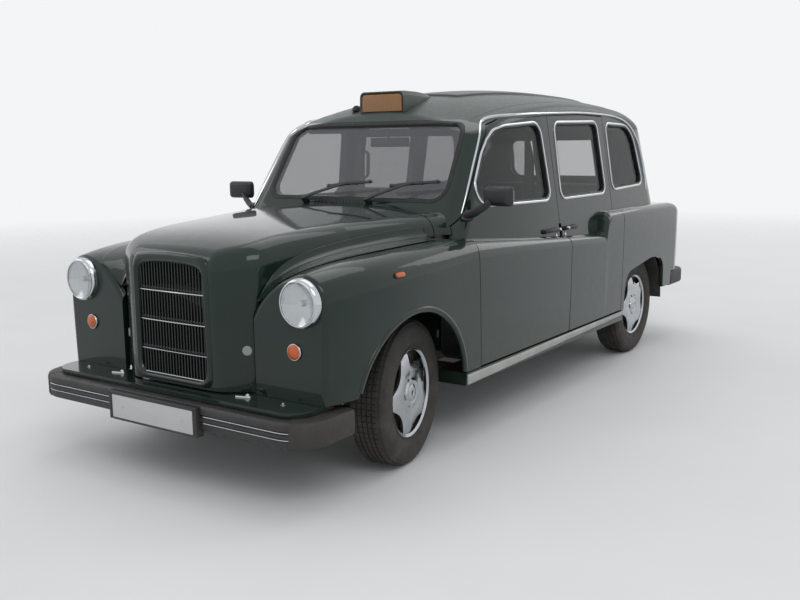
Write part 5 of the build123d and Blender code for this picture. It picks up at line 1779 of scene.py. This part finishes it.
@dataclass
class DoorFurniture:
    """Handles, locks and mirrors of the doors."""

    side_skin: Skin

    def on_door(self, y: float, z: float, side: int) -> Matrix:
        """A frame on the door's skin: X along the cab, Y up, Z outwards."""
        found = self.side_skin.hit(*from_left((y, z)))
        centre, normal = found if found else (Vector((0.80, y, z)), Vector((1, 0, 0)))
        return facing(sided(centre, side), sided(normal, side))

    def handle(self, name: str, start_y: float, end_y: float, z: float, button_y: float, side: int,
               body: str) -> None:
        """Make one pull handle with its seat and push button.

        Args:
            name: the start of the pieces' names.
            start_y: its front end.
            end_y: its rear end.
            z: its height.
            button_y: the place of the button.
            side: LEFT or RIGHT.
            body: the body that it rides on.
        """
        place = self.on_door((start_y + end_y) / 2, z, side)
        half = (end_y - start_y) / 2
        sense = 1 if side > 0 else -1
        bm = bmesh.new()
        for centre in (-1, 1):
            x = centre * (half - 0.017)
            outline = rounded(oblong((x - 0.019, -0.014), (x + 0.019, 0.014)), 0.012)
            slab_into(bm, outline, 0.010, place, 0.004)
        grip = [Vector((half * (i / 10 * 2 - 1) * 0.93, 0.0, 0.030 - 0.018 * abs(i / 5 - 1) ** 3))
                for i in range(11)]
        oval = [(a * 0.006, b * 0.0115) for a, b in circle_profile(1.0, 12)]
        loose = bmesh.new()
        sweep_into(loose, grip, [Vector((0, 0, 1))] * 11, oval)
        bmesh.ops.transform(loose, matrix=place, verts=loose.verts)
        mesh = bpy.data.meshes.new("grip")
        loose.to_mesh(mesh)
        loose.free()
        bm.from_mesh(mesh)
        bpy.data.meshes.remove(mesh)
        add_node(f"handle_{name}", bm, PLASTIC, body)
        bm = bmesh.new()
        x = sense * (button_y - (start_y + end_y) / 2)
        push = place @ axle((x, 0.0, 0.0), (0, 0, 1))
        spin_into(bm, [(0.0, 0.0001), (0.010, 0.0001), (0.031, 0.0001), (0.0325, 0.004), (0.0320, 0.0082),
                       (0.029, 0.0095), (0.004, 0.0098)], push, 24, closed=False)
        lock = place @ axle((x - sense * 0.004, -0.034, -0.002), (0, 0, 1))
        spin_into(bm, [(0.0, 0.011), (0.004, 0.0108), (0.0052, 0.009), (0.0046, 0.003), (0.0036, 0.0001)],
                  lock, 24,
                  closed=False)
        add_node(f"button_{name}", bm, CHROME, body)

    def mirror(self, side: int) -> None:
        """Make one door mirror: foot, arm, moulded head and glass."""
        name = SIDE_NAMES[side]
        body = Body.FRONT_DOOR.on(side)
        bm = bmesh.new()
        turn = turned(sided((0.874, -0.772, 1.206), side), -6 * side, "Z")
        verts = block_into(bm, (-0.086, -0.030, -0.051), (0.086, 0.022, 0.051), 0.019, 4)
        for vert in verts:
            share = (0.022 - vert.co.y) / 0.052
            shrink = 1.0 - 0.22 * share**2
            vert.co.x *= shrink
            vert.co.z *= shrink
        bmesh.ops.transform(bm, matrix=turn, verts=verts)
        foot = self.on_door(-0.830, 1.104, side)
        root = foot.translation
        head = sided((0.838, -0.786, 1.178), side)
        arm = [root + (head - root) * t + Vector((side * 0.012 * math.sin(math.pi * t), 0, 0))
               for t in (0.0, 0.3, 0.65, 1.0)]
        sweep_into(bm, arm, [Vector((side, 0, 0))] * 4,
                   [(a * 0.014, b * 0.024) for a, b in circle_profile(1, 14)],
                   scale=lambda t: 1.35 - 0.45 * t)
        outline = rounded([(-0.048, -0.024), (0.044, -0.024), (0.026, 0.016), (0.006, 0.040),
                           (-0.014, 0.016)], 0.012)
        slab_into(bm, outline, 0.013, foot, 0.006, 3)
        piece = add_node(f"mirror_{name}", bm, PLASTIC, body)
        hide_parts(f"door_mirror_{name}")
        bm = bmesh.new()
        outline = rounded(oblong((-0.078, -0.043), (0.078, 0.043)), 0.018)
        slab_into(bm, outline, 0.0025, turn @ facing((0, 0.0205, 0), (0, 1, 0)), 0.0008)
        add_node(f"mirror_glass_{name}", bm, MIRROR, body)

    def make(self) -> None:
        """Make all the furniture."""
        for side in (LEFT, RIGHT):
            name = SIDE_NAMES[side]
            self.handle(f"front_{name}", -0.105, 0.080, 0.968, 0.062, side, Body.FRONT_DOOR.on(side))
            self.handle(f"rear_{name}", 0.160, 0.330, 0.968, 0.178, side, Body.REAR_DOOR.on(side))
            self.mirror(side)


@dataclass
class Wipers:
    """The two wipers, parked to the cab's left."""

    pivots: tuple[Vector, ...] = (Vector((-0.301, -0.868, 1.168)), Vector((0.135, -0.868, 1.170)))
    blades: tuple[tuple[Vector, Vector], ...] = (
        (Vector((-0.157, -0.826, 1.238)), Vector((0.126, -0.812, 1.264))),
        (Vector((0.260, -0.822, 1.244)), Vector((0.552, -0.808, 1.270))),
    )

    def make(self) -> None:
        """Make both wipers with their arms, yokes and rubber blades."""
        out = Vector((0, -0.842, 0.539)).normalized()
        for index, (pivot, (start, end)) in enumerate(zip(self.pivots, self.blades)):
            bm = bmesh.new()
            spin_into(bm, [(0.0, 0.0001), (0.0, 0.017), (0.012, 0.014), (0.026, 0.012), (0.034, 0.009),
                           (0.036, 0.0001)],
                      axle(pivot - out * 0.010, out), 24, closed=False)
            middle = (start + end) / 2
            path = [pivot + out * 0.018, pivot.lerp(middle, 0.3) + out * 0.026,
                    pivot.lerp(middle, 0.7) + out * 0.026, middle + out * 0.020]
            sweep_into(bm, path, [out] * 4, [(a * 0.0055, b * 0.0105) for a, b in circle_profile(1, 8)],
                       scale=lambda t: 1.15 - 0.40 * t)
            along = end - start
            spine = [start + along * (i / 8) + out * (0.0105 + 0.007 * (1 - abs(i / 4 - 1)))
                     for i in range(9)]
            sweep_into(bm, spine, [out] * 9,
                       [(-0.003, -0.0085), (0.002, -0.0075), (0.004, 0.0), (0.002, 0.0075), (-0.003, 0.0085)])
            for share in (0.02, 0.33, 0.67, 0.98):
                foot = start + along * share
                block_into(bm, (-0.009, -0.009, 0), (0.009, 0.009, 0.014), 0.003, 2,
                           facing(foot + out * 0.003, out))
            add_node(f"wiper_arm_{index}", bm, PLASTIC)
            bm = bmesh.new()
            line = [start - along * 0.03 + along * 1.06 * (i / 12) for i in range(13)]
            sweep_into(bm, line, [out] * 13,
                       [(-0.001, -0.0008), (0.002, -0.0030), (0.0065, -0.0034), (0.0065, 0.0034),
                        (0.002, 0.0030), (-0.001, 0.0008)])
            add_node(f"wiper_blade_{index}", bm, RUBBER)


@dataclass
class CowlSlots:
    """The row of air slots under the windscreen, between the wipers."""

    skin: Skin
    count: int = 16
    first_x: float = -0.235
    pitch: float = 0.0215
    height: float = 1.163

    def make(self) -> None:
        """Make the slots as small dark slabs on their seat: painted shade that stands in for the shadowed
        openings.
        """
        slots = bmesh.new()
        for index in range(self.count):
            found = self.skin.hit(*from_front((self.first_x + self.pitch * index, self.height)))
            if not found:
                continue
            place = facing(found[0] - found[1] * 0.001, found[1])
            outline = rounded(oblong((-0.0055, -0.009), (0.0055, 0.009)), 0.0045, 4)
            # Dark rubber slab: painted shade in place of the slot's opening
            slab_into(slots, outline, 0.0034, place, 0.0012)
        add_node("cowl_slots", slots, RUBBER)


@dataclass
class RoofSign:
    """The blank roof sign: hooded housing with an amber lens, and the dome beside it."""

    front_y: float = -0.535

    def make(self, roof: Skin) -> None:
        """Make the sign and the small dome.

        Args:
            roof: the roof's surface.
        """
        stations = [(-0.004, 0.150, 1.634, 1.750), (0.000, 0.154, 1.630, 1.756), (0.05, 0.155, 1.634, 1.759),
                    (0.16, 0.152, 1.650, 1.757), (0.26, 0.138, 1.670, 1.752), (0.34, 0.112, 1.700, 1.742),
                    (0.385, 0.075, 1.712, 1.728)]
        bm = bmesh.new()
        outlines = []
        for offset, half, low, high in stations:
            corners = [(-half, low), (half, low), (half * 0.97, high), (-half * 0.97, high)]
            outline = rounded(corners, [0.010, 0.010, 0.030, 0.030], 5)
            outlines.append([(x, self.front_y + offset, z) for x, z in outline])
        rings = loft_into(bm, outlines)
        bmesh.ops.contextual_create(bm, geom=rings[-1])
        cap = bmesh.ops.contextual_create(bm, geom=rings[0])["faces"]
        bmesh.ops.inset_region(bm, faces=cap, thickness=0.011, depth=0.0)
        bmesh.ops.translate(bm, vec=(0, 0.012, 0), verts=[v for f in cap if f.is_valid for v in f.verts])
        piece = add_node("roof_sign_housing", bm, ROOF, sharp=40)
        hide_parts("roof_sign")
        bm = bmesh.new()
        outline = rounded([(-0.137, 1.645), (0.137, 1.645), (0.134, 1.741), (-0.134, 1.741)],
                          [0.006, 0.006, 0.018, 0.018])
        slab_into(bm, outline, 0.013, facing((0, self.front_y + 0.012, 0), (0, -1, 0)), 0.004, 3)
        add_node("roof_sign_lens", bm, SIGN)
        found = roof.hit(*from_above((-0.225, -0.47)))
        if found:
            bm = bmesh.new()
            spin_into(bm, [(0, 0.0001), (0, 0.031), (0.004, 0.031), (0.006, 0.026), (0.016, 0.024),
                           (0.026, 0.017),
                           (0.031, 0.008), (0.032, 0.0001)], axle(found[0], (0, 0, 1)), 32, closed=False)
            add_node("roof_dome", bm, RUBBER)


# Interior


def laid_sheet(name: str, low: Point2, high: Point2, cells: tuple[int, int], skin: Skin, lift: Callable,
               stand_off: float, finish: Finish, body: str, side: int = LEFT,
               thickness: float = 0.003) -> bpy.types.Object:
    """Lay a sheet of trim on a surface.

    Args:
        name: the piece's name.
        low: the sheet's lowest corner in the rays' plane.
        high: its highest corner.
        cells: the divisions each way.
        skin: the surface.
        lift: gives each point's ray as start and direction.
        stand_off: how far the sheet stands off the surface.
        finish: its finish.
        body: the body that it rides on.
        side: LEFT or RIGHT.
        thickness: the sheet's thickness, or 0 for a mere layer.

    Returns:
        The sheet.
    """
    bm = bmesh.new()
    middle = Matrix.Translation(((low[0] + high[0]) / 2, (low[1] + high[1]) / 2, 0))
    size = Matrix.Diagonal((high[0] - low[0], high[1] - low[1], 1, 1))
    bmesh.ops.create_grid(bm, x_segments=cells[0], y_segments=cells[1], size=0.5, matrix=middle @ size)
    missed = []
    for vert in bm.verts:
        start, direction = lift((vert.co.x, vert.co.y))
        found = skin.hit(start, direction)
        if found:
            vert.co = sided(found[0] - direction * stand_off, side)
        else:
            missed.append(vert)
    bmesh.ops.delete(bm, geom=missed, context="VERTS")
    sheet = add_node(name, bm, finish, body, 50)
    if thickness:
        thicken = sheet.modifiers.new("sheet", "SOLIDIFY")
        thicken.thickness = thickness
        thicken.offset = 0
        apply_modifiers(sheet)
    return sheet


def from_inside(point: Point2) -> tuple[Vector, Vector]:
    """A ray that goes out to the cab's left at (y, z)."""
    return Vector((0.30, point[0], point[1])), Vector((1, 0, 0))


def from_below(point: Point2) -> tuple[Vector, Vector]:
    """A ray that goes up from the cabin at (x, y)."""
    return Vector((point[0], point[1], 1.35)), Vector((0, 0, 1))


@dataclass
class Cushion:
    """One sprung cushion: a stuffed cover with sunk seams and piping.

    Attributes:
        name: its name.
        size: its width, depth and thickness.
        place: its place, with the local Z out of its face.
        channels: the number of fields that the seams divide it into.
        voxel: the cover's mesh size.
        swell: how far the stuffing pushes the cover out at most.
        finish: the cover's finish.
    """

    name: str
    size: tuple[float, float, float]
    place: Matrix
    channels: int = 3
    voxel: float = 0.009
    swell: float = 0.024
    rim: float = 0.011
    seam_sink: float = 0.007
    pressure: float = 4.0
    frames: int = 20
    finish: Finish = SEAT

    @property
    def half(self) -> Vector:
        """Half of the size."""
        return Vector(self.size) / 2

    def sewn(self, place: Vector) -> bool:
        """Whether a point of the cover is held by a seam or by the base."""
        half = self.half
        if place.z < -half.z + 0.012:
            return True
        edge = max(abs(place.x) - half.x, abs(place.y) - half.y)
        if abs(edge + 0.006) < self.voxel * 0.8 and abs(place.z - half.z + self.rim) < self.voxel * 0.8:
            return True
        pitch = self.size[0] / self.channels
        share = (place.x + half.x) / pitch
        near = abs(share - round(share)) * pitch
        inner = 0 < round(share) < self.channels
        return inner and near < self.voxel * 0.62 and place.z > half.z - 0.012

    def cover(self) -> bpy.types.Object:
        """Make the cover before it is stuffed."""
        bm = bmesh.new()
        block_into(bm, -self.half, self.half, 0.030, 3)
        mesh = bpy.data.meshes.new(self.name)
        bm.to_mesh(mesh)
        bm.free()
        obj = bpy.data.objects.new(self.name, mesh)
        bpy.context.scene.collection.objects.link(obj)
        remesh = obj.modifiers.new("remesh", "REMESH")
        remesh.mode = "VOXEL"
        remesh.voxel_size = self.voxel
        apply_modifiers(obj)
        return obj

    def stuff(self, obj: bpy.types.Object) -> None:
        """Fill the cover by a cloth simulation, held at its seams.

        Args:
            obj: the cover.
        """
        sewn = [v.index for v in obj.data.vertices if self.sewn(v.co)]
        rest = [v.co.copy() for v in obj.data.vertices]
        group = obj.vertex_groups.new(name="sewn")
        group.add(sewn, 1.0, "REPLACE")
        for index in sewn:
            if rest[index].z > 0 and abs(rest[index].x) < self.half.x - 0.03:
                obj.data.vertices[index].co.z -= self.seam_sink
        scene = bpy.context.scene
        cloth = obj.modifiers.new("stuffing", "CLOTH")
        cloth.settings.use_pressure = True
        cloth.settings.uniform_pressure_force = self.pressure
        cloth.settings.effector_weights.gravity = 0
        cloth.settings.quality = 4
        cloth.settings.vertex_group_mass = "sewn"
        cloth.collision_settings.use_collision = False
        cloth.point_cache.frame_start = 1
        cloth.point_cache.frame_end = self.frames
        for frame_number in range(1, self.frames + 1):
            scene.frame_set(frame_number)
        apply_modifiers(obj)
        scene.frame_set(1)
        held = set(sewn)
        for index, vert in enumerate(obj.data.vertices):
            if index not in held:
                move = vert.co - rest[index]
                if move.length > self.swell:
                    vert.co = rest[index] + move.normalized() * self.swell

    def make(self, body: str, *nodes: str) -> None:
        """Make the stuffed cushion and its piping.

        Args:
            body: the body that it rides on.
            *nodes: the frame's nodes that it stands for.
        """
        obj = self.cover()
        self.stuff(obj)
        smooth = obj.modifiers.new("smooth", "SUBSURF")
        smooth.levels = smooth.render_levels = 1
        apply_modifiers(obj)
        obj.data.transform(self.place)
        for polygon in obj.data.polygons:
            polygon.use_smooth = True
        obj.vertex_groups.clear()
        obj.data.materials.clear()
        obj.data.materials.append(SHOP.get(self.finish))
        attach(obj, body)
        if nodes:
            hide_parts(*nodes)
        half = self.half
        corners = [(-half.x, -half.y), (half.x, -half.y), (half.x, half.y), (-half.x, half.y)]
        rim = dense(rounded([(a * 0.985, b * 0.985) for a, b in corners], 0.032), 0.04)
        path = [self.place @ Vector((a, b, half.z - self.rim * 0.7)) for a, b in rim]
        bm = bmesh.new()
        tube_into(bm, path, 0.0042, 8, closed=True)
        add_node(f"{self.name}_piping", bm, self.finish, body, 60)


@dataclass
class Cabin:
    """Seats, trim, instruments and handles inside the cab."""

    body: str = Body.CAB.on()
    dials: tuple[Point2, ...] = ((-0.118, 0.030), (0.0, 0.042), (0.118, 0.030))

    def seats(self) -> None:
        """Make the driver's seat, the rear bench and the two folding seats."""
        upright = turned((0, 0, 0), 90)
        driver = turned((SEAT_X, -0.285, 0.628), 4)
        Cushion("driver_cushion", (0.460, 0.440, 0.110), driver, 3).make(self.body, "driver_seat")
        back = turned((SEAT_X, -0.028, 0.950), -12) @ upright
        Cushion("driver_back", (0.440, 0.480, 0.085), back, 3).make(self.body)
        bench = turned((0, 1.245, 0.712), 4)
        Cushion("bench_cushion", (1.150, 0.470, 0.115), bench, 6, 0.012).make(self.body, "rear_bench")
        rest = turned((0, 1.548, 0.950), -14) @ upright
        Cushion("bench_back", (1.150, 0.430, 0.100), rest, 6, 0.012).make(self.body)
        for side in (LEFT, RIGHT):
            name = SIDE_NAMES[side]
            stowed = turned((side * 0.300, 0.130, 0.665), 180, "Z") @ upright
            nodes = ("jump_seats",) if side == LEFT else ()
            folded = Cushion(f"folding_seat_{name}", (0.365, 0.370, 0.058), stowed, 2, swell=0.012)
            folded.make(self.body, *nodes)

    def trim(self, doors: dict[str, Skin], roof: Skin) -> None:
        """Make the door cards, the waist rail on the partition and the headlining.

        Args:
            doors: the inner surfaces of the left doors, by name.
            roof: the roof's inner surface.
        """
        spans = {"front_door": ((-0.870, 0.470), (0.050, 1.085)),
                 "rear_door": ((0.175, 0.430), (0.860, 1.085))}
        for side in (LEFT, RIGHT):
            name = SIDE_NAMES[side]
            for door, (low, high) in spans.items():
                rider = (Body.FRONT_DOOR if door == "front_door" else Body.REAR_DOOR).on(side)
                laid_sheet(f"{door}_card_{name}", low, high, (18, 14), doors[door], from_inside, 0.004,
                           MAROON, rider, side)
                self.door_pull(f"{door}_{name}", (low[0] + high[0]) / 2, doors[door], side, rider)
        laid_sheet("headlining", (-0.56, -0.36), (0.56, 1.42), (20, 30), roof, from_below, 0.006, HEADLINING,
                   self.body)
        bm = bmesh.new()
        block_into(bm, (-0.612, PARTITION_Y - 0.020, 1.088), (0.612, PARTITION_Y + 0.046, 1.128), 0.014, 4)
        block_into(bm, (-0.606, PARTITION_Y - 0.006, 0.900), (-0.030, PARTITION_Y - 0.0005, 1.086), 0.002, 2)
        block_into(bm, (0.030, PARTITION_Y - 0.006, 0.480), (0.606, PARTITION_Y - 0.0005, 1.086), 0.002, 2)
        block_into(bm, (-0.606, PARTITION_Y + 0.0285, 0.880), (0.606, PARTITION_Y + 0.034, 1.086), 0.002, 2)
        add_node("partition_rail", bm, MAROON, self.body)

    def door_pull(self, name: str, middle: float, skin: Skin, side: int, rider: str) -> None:
        """Make a door's armrest and its lever."""
        found = skin.hit(*from_inside((middle, 0.86)))
        if not found:
            return
        x = found[0].x - 0.006
        bm = bmesh.new()
        block_into(bm, (x - 0.052, middle - 0.200, 0.835), (x, middle + 0.200, 0.885), 0.018, 4)
        block_into(bm, (x - 0.020, middle + 0.090, 0.985), (x, middle + 0.150, 1.020), 0.006, 3)
        path = [Vector((x - 0.014, middle + 0.12 - 0.02 * i, 1.003 - 0.004 * i)) for i in range(6)]
        tube_into(bm, path, 0.0065, 10, scale=lambda t: 1.1 - 0.35 * t)
        if side == RIGHT:
            bmesh.ops.transform(bm, matrix=Matrix.Scale(-1, 4, (1, 0, 0)), verts=bm.verts)
        add_node(f"armrest_{name}", bm, PLASTIC, rider)

    def instruments(self) -> None:
        """Make the hooded instruments, vents, column and centre panel of the dash."""
        hood = turned((SEAT_X, -0.700, 1.100), -18)
        bm = bmesh.new()
        block_into(bm, (-0.190, -0.070, -0.062), (0.190, 0.045, 0.050), 0.022, 4, hood)
        for x in (-0.52, 0.10, 0.44):
            for row in range(4):
                block_into(bm, (x - 0.055, -0.676, 1.016 + 0.013 * row),
                           (x + 0.055, -0.660, 1.0215 + 0.013 * row), 0.002, 2)
        block_into(bm, (-0.11, -0.700, 0.905), (0.11, -0.668, 1.000), 0.008, 3)
        column = [Vector((SEAT_X, -0.70 + 0.16 * i / 4, 0.915 + 0.075 * i / 4)) for i in range(5)]
        tube_into(bm, column, 0.034, 20, scale=lambda t: 1.0 - 0.15 * t)
        for sense in (-1, 1):
            stalk = [Vector((SEAT_X + sense * (0.03 + 0.03 * i), -0.60 + 0.004 * i, 0.966 + 0.006 * i))
                     for i in range(5)]
            tube_into(bm, stalk, 0.006, 10, scale=lambda t: 0.8 + 0.5 * t)
        add_node("dash_mouldings", bm, PLASTIC, self.body)
        bm = bmesh.new()
        for x, radius in ((-0.118, 0.033), (0.0, 0.046), (0.118, 0.033)):
            spin_into(bm, [(0.0, radius), (0.006, radius), (0.007, radius * 0.94), (0.002, radius * 0.9),
                           (0.0, radius * 0.9)],
                      hood @ axle((x, 0.043, -0.006), (0, 1, 0)), 36)
        for x in (-0.06, 0.0, 0.06):
            spin_into(bm, [(0, 0.0001), (0.0, 0.013), (0.012, 0.011), (0.014, 0.009), (0.014, 0.0001)],
                      axle((x, -0.668, 0.950), (0, 1, 0)), 24, closed=False)
        add_node("dash_bezels", bm, CHROME, self.body)
        bm = bmesh.new()
        for x, radius in self.dials:
            place = hood @ axle((x, 0.044, -0.006), (0, 1, 0))
            spin_into(bm, [(0, 0.0001), (0, radius * 0.97), (0.0012, radius * 0.97), (0.0014, 0.0001)],
                      place, 36, closed=False)
        add_node("dash_dials", bm, RUBBER, self.body)
        bm = bmesh.new()
        for x, radius in self.dials:
            face = hood @ facing((x, 0.0456, -0.006), (0, 1, 0))
            for step in range(9):
                turn = face @ turned((0, 0, 0), -120 + 30 * step, "Z")
                block_into(bm, (-0.0009, radius * 0.72, 0), (0.0009, radius * 0.9, 0.0008), 0.0002, 1, turn)
            needle = face @ turned((0, 0, 0), 112, "Z")
            block_into(bm, (-0.0011, -radius * 0.12, 0.0008), (0.0011, radius * 0.78, 0.0022), 0.0004, 1,
                       needle)
        add_node("dash_marks", bm, PLATE, self.body, slot="black_plastic")

    def fittings(self) -> None:
        """Make the inside mirror, the grab handles and the sun visors."""
        bm = bmesh.new()
        tilt = turned((0.072, -0.560, 1.476), 10, "Z")
        block_into(bm, (-0.118, -0.009, -0.026), (0.118, 0.009, 0.026), 0.0085, 4, tilt)
        stem = [Vector((0.072, -0.570, 1.490)), Vector((0.072, -0.580, 1.515)),
                Vector((0.074, -0.575, 1.548))]
        tube_into(bm, stem, 0.006, 10)
        for x in (-0.33, 0.36):
            visor = turned((x, -0.500, 1.548), 12)
            block_into(bm, (-0.185, -0.062, -0.009), (0.185, 0.062, 0.009), 0.008, 4, visor)
        add_node("inside_mirror", bm, PLASTIC, self.body)
        bm = bmesh.new()
        block_into(bm, (-0.111, 0.0088, -0.021), (0.111, 0.0102, 0.021), 0.0006, 1, tilt)
        add_node("inside_mirror_glass", bm, MIRROR, self.body)
        bm = bmesh.new()
        flat = [(a * 0.007, b * 0.013) for a, b in circle_profile(1, 12)]
        for side in (LEFT, RIGHT):
            bar = [sided(p, side) for p in ((0.590, 0.092, 1.250), (0.592, 0.118, 1.258),
                                            (0.592, 0.126, 1.280), (0.590, 0.126, 1.335),
                                            (0.588, 0.126, 1.390), (0.586, 0.118, 1.412),
                                            (0.584, 0.092, 1.420))]
            sweep_into(bm, bar, [Vector((0, 1, 0.001))] * 7, flat)
            rail = [sided(p, side) for p in ((0.500, 0.092, 1.020), (0.500, 0.120, 1.028),
                                             (0.490, 0.126, 1.040), (0.400, 0.126, 1.040),
                                             (0.310, 0.126, 1.040), (0.300, 0.120, 1.028),
                                             (0.300, 0.092, 1.020))]
            tube_into(bm, rail, 0.010, 12)
        add_node("grab_handles", bm, ORANGE, self.body)

    def make(self, doors: dict[str, Skin], roof: Skin) -> None:
        """Make the whole cabin.

        Args:
            doors: the inner surfaces of the left doors, by name.
            roof: the roof's inner surface.
        """
        self.seats()
        self.trim(doors, roof)
        self.instruments()
        self.fittings()


# Stage


@dataclass(frozen=True)
class Softbox:
    """One large soft lamp.

    Attributes:
        name: its name.
        place: where it hangs.
        target: what it points at.
        size: its width and height.
        power: its power in watts.
    """

    name: str
    place: tuple[float, float, float]
    target: tuple[float, float, float]
    size: Point2
    power: float


@dataclass
class Studio:
    """Pale floor, soft lamps, pale world and the camera."""

    camera_place: tuple[float, float, float] = (3.120, -4.880, 1.474)
    azimuth: float = 0.605775
    elevation: float = -0.166757
    roll: float = -0.0114469
    lens: float = 42.11
    sensor: float = 36.0
    floor_size: float = 40.0
    floor_fade: Point2 = (4.2, 15.0)
    world_light: float = 0.86
    lamps: tuple[Softbox, ...] = (
        Softbox("key", (5.5, -5.5, 6.5), (0.0, -0.4, 0.7), (5.0, 3.0), 130),
        Softbox("fill", (-6.5, -4.5, 5.0), (0.0, -0.8, 0.8), (5.0, 3.0), 60),
        Softbox("top", (0.0, 1.0, 7.5), (0.0, 0.4, 0.8), (6.0, 5.0), 100),
        Softbox("back", (3.5, 7.5, 5.0), (0.0, 1.0, 1.0), (5.0, 3.0), 60),
    )

    def floor(self) -> None:
        """Make the floor, pale with faint soft clouds, fading out with distance."""
        bm = bmesh.new()
        bmesh.ops.create_grid(bm, x_segments=4, y_segments=4, size=self.floor_size / 2)
        mesh = bpy.data.meshes.new("floor")
        bm.to_mesh(mesh)
        bm.free()
        # Matt paint rolled on a screed: pale, with faint soft clouds
        material = bpy.data.materials.new("painted_floor")
        material.use_nodes = True
        tree = material.node_tree
        shader = tree.nodes["Principled BSDF"].inputs
        coords = wire(tree, "TexCoord", "Object", {})
        cloud = wire(tree, "TexNoise", "Fac", {"Vector": coords, "Scale": 1 / (900 * MM), "Detail": 4.0})
        share = wire(tree, "MapRange", "Result", {"Value": cloud, "From Min": 0.3, "From Max": 0.7})
        colours = {0: share, MIX_A: linear("#dcdddd"), MIX_B: linear("#d8d9d9")}
        tree.links.new(wire(tree, "Mix", MIX_OUT, colours, data_type="RGBA"), shader["Base Color"])
        shader["Roughness"].default_value = 0.75
        reach = wire(tree, "VectorMath", "Value", {0: coords}, operation="LENGTH")
        near, far = self.floor_fade
        fade = {"Value": reach, "From Min": near, "From Max": far, "To Min": 1.0, "To Max": 0.0}
        tree.links.new(wire(tree, "MapRange", "Result", fade), shader["Alpha"])
        mesh.materials.append(material)
        floor = bpy.data.objects.new("floor", mesh)
        bpy.context.scene.collection.objects.link(floor)
        floor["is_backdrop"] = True

    def light(self) -> None:
        """Hang the lamps."""
        for lamp in self.lamps:
            data = bpy.data.lights.new(lamp.name, "AREA")
            data.shape = "RECTANGLE"
            data.size, data.size_y = lamp.size
            data.energy = lamp.power
            obj = bpy.data.objects.new(lamp.name, data)
            place = Vector(lamp.place)
            obj.location = place
            obj.rotation_euler = (Vector(lamp.target) - place).to_track_quat("-Z", "Y").to_euler()
            bpy.context.scene.collection.objects.link(obj)

    def world(self) -> None:
        """Make the world: white to the camera and to reflections of it, softer as a lamp."""
        world = bpy.data.worlds.new("pale_world")
        bpy.context.scene.world = world
        world.use_nodes = True
        tree = world.node_tree
        tree.nodes.clear()
        camera, glossy, through = (wire(tree, "LightPath", f"Is {ray} Ray", {})
                                   for ray in ("Camera", "Glossy", "Transmission"))
        mirrored = wire(tree, "Math", 0, {0: glossy, 1: through}, operation="MAXIMUM")
        seen = wire(tree, "Math", 0, {0: camera, 1: mirrored}, operation="MAXIMUM")
        soft = wire(tree, "Background", 0, {"Color": linear("#eef0f2"), "Strength": self.world_light})
        bright = wire(tree, "Background", 0, {"Color": linear("#f4f5f6"), "Strength": 1.0})
        mixed = wire(tree, "MixShader", 0, {0: seen, 1: soft, 2: bright})
        wire(tree, "OutputWorld", None, {"Surface": mixed})

    def camera(self) -> None:
        """Set the camera at the photograph's place and angle."""
        az, el = self.azimuth, self.elevation
        ahead = Vector((-math.sin(az) * math.cos(el), math.cos(az) * math.cos(el), math.sin(el)))
        right = ahead.cross(Vector((0, 0, 1))).normalized()
        up = right.cross(ahead)
        turned = right * math.cos(self.roll) + up * math.sin(self.roll)
        upright = up * math.cos(self.roll) - right * math.sin(self.roll)
        data = bpy.data.cameras.new("camera")
        data.sensor_width = self.sensor
        data.lens = self.lens
        data.clip_end = 200
        obj = bpy.data.objects.new("camera", data)
        place = Matrix((turned, upright, -ahead)).transposed().to_4x4()
        place.translation = Vector(self.camera_place)
        obj.matrix_world = place
        bpy.context.scene.collection.objects.link(obj)
        bpy.context.scene.camera = obj

    def make(self) -> None:
        """Make the whole stage."""
        self.floor()
        self.light()
        self.world()
        self.camera()
        bpy.context.scene.view_settings.view_transform = "Standard"


def finish_frame() -> None:
    """Give every node of the frame the finish that it has in the list."""
    for name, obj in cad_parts.items():
        plain = name.removesuffix("_left").removesuffix("_right")
        material = SHOP.get(NODE_FINISHES[plain])
        obj.data.materials.clear()
        obj.data.materials.append(material)


def main() -> None:
    """Dress the frame as the cab and set the stage."""
    logging.basicConfig(level=logging.INFO, format="%(name)s: %(message)s")
    finish_frame()
    wings = Skin(["front_wings", "rear_wings", "front_door_left", "rear_door_left"])
    shell = Skin(["front_door_left", "rear_door_left", "rear_body", "windscreen_frame", "roof_panel",
                  "rear_wings"])
    roof = Skin(["roof_panel"])
    for front in (True, False):
        for side in (LEFT, RIGHT):
            RoadWheel(front, side).make()
    Lamps().make(wings)
    Nose().make(Skin(["bonnet"]), Skin(["front_apron"]))
    Glazing(shell, Skin(["front_door_glass_left", "rear_door_glass_left", "fixed_glass"])).make()
    Strips(wings, roof).make()
    DoorFurniture(wings).make()
    Wipers().make()
    CowlSlots(Skin(["scuttle", "windscreen_frame"])).make()
    RoofSign().make(roof)
    Cabin().make({name: Skin([f"{name}_left"]) for name in ("front_door", "rear_door")}, roof)
    Studio().make()
    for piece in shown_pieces():
        log.info("%s: %s faces", piece.name, len(piece.data.polygons))


if __name__ == "__main__":
    main()
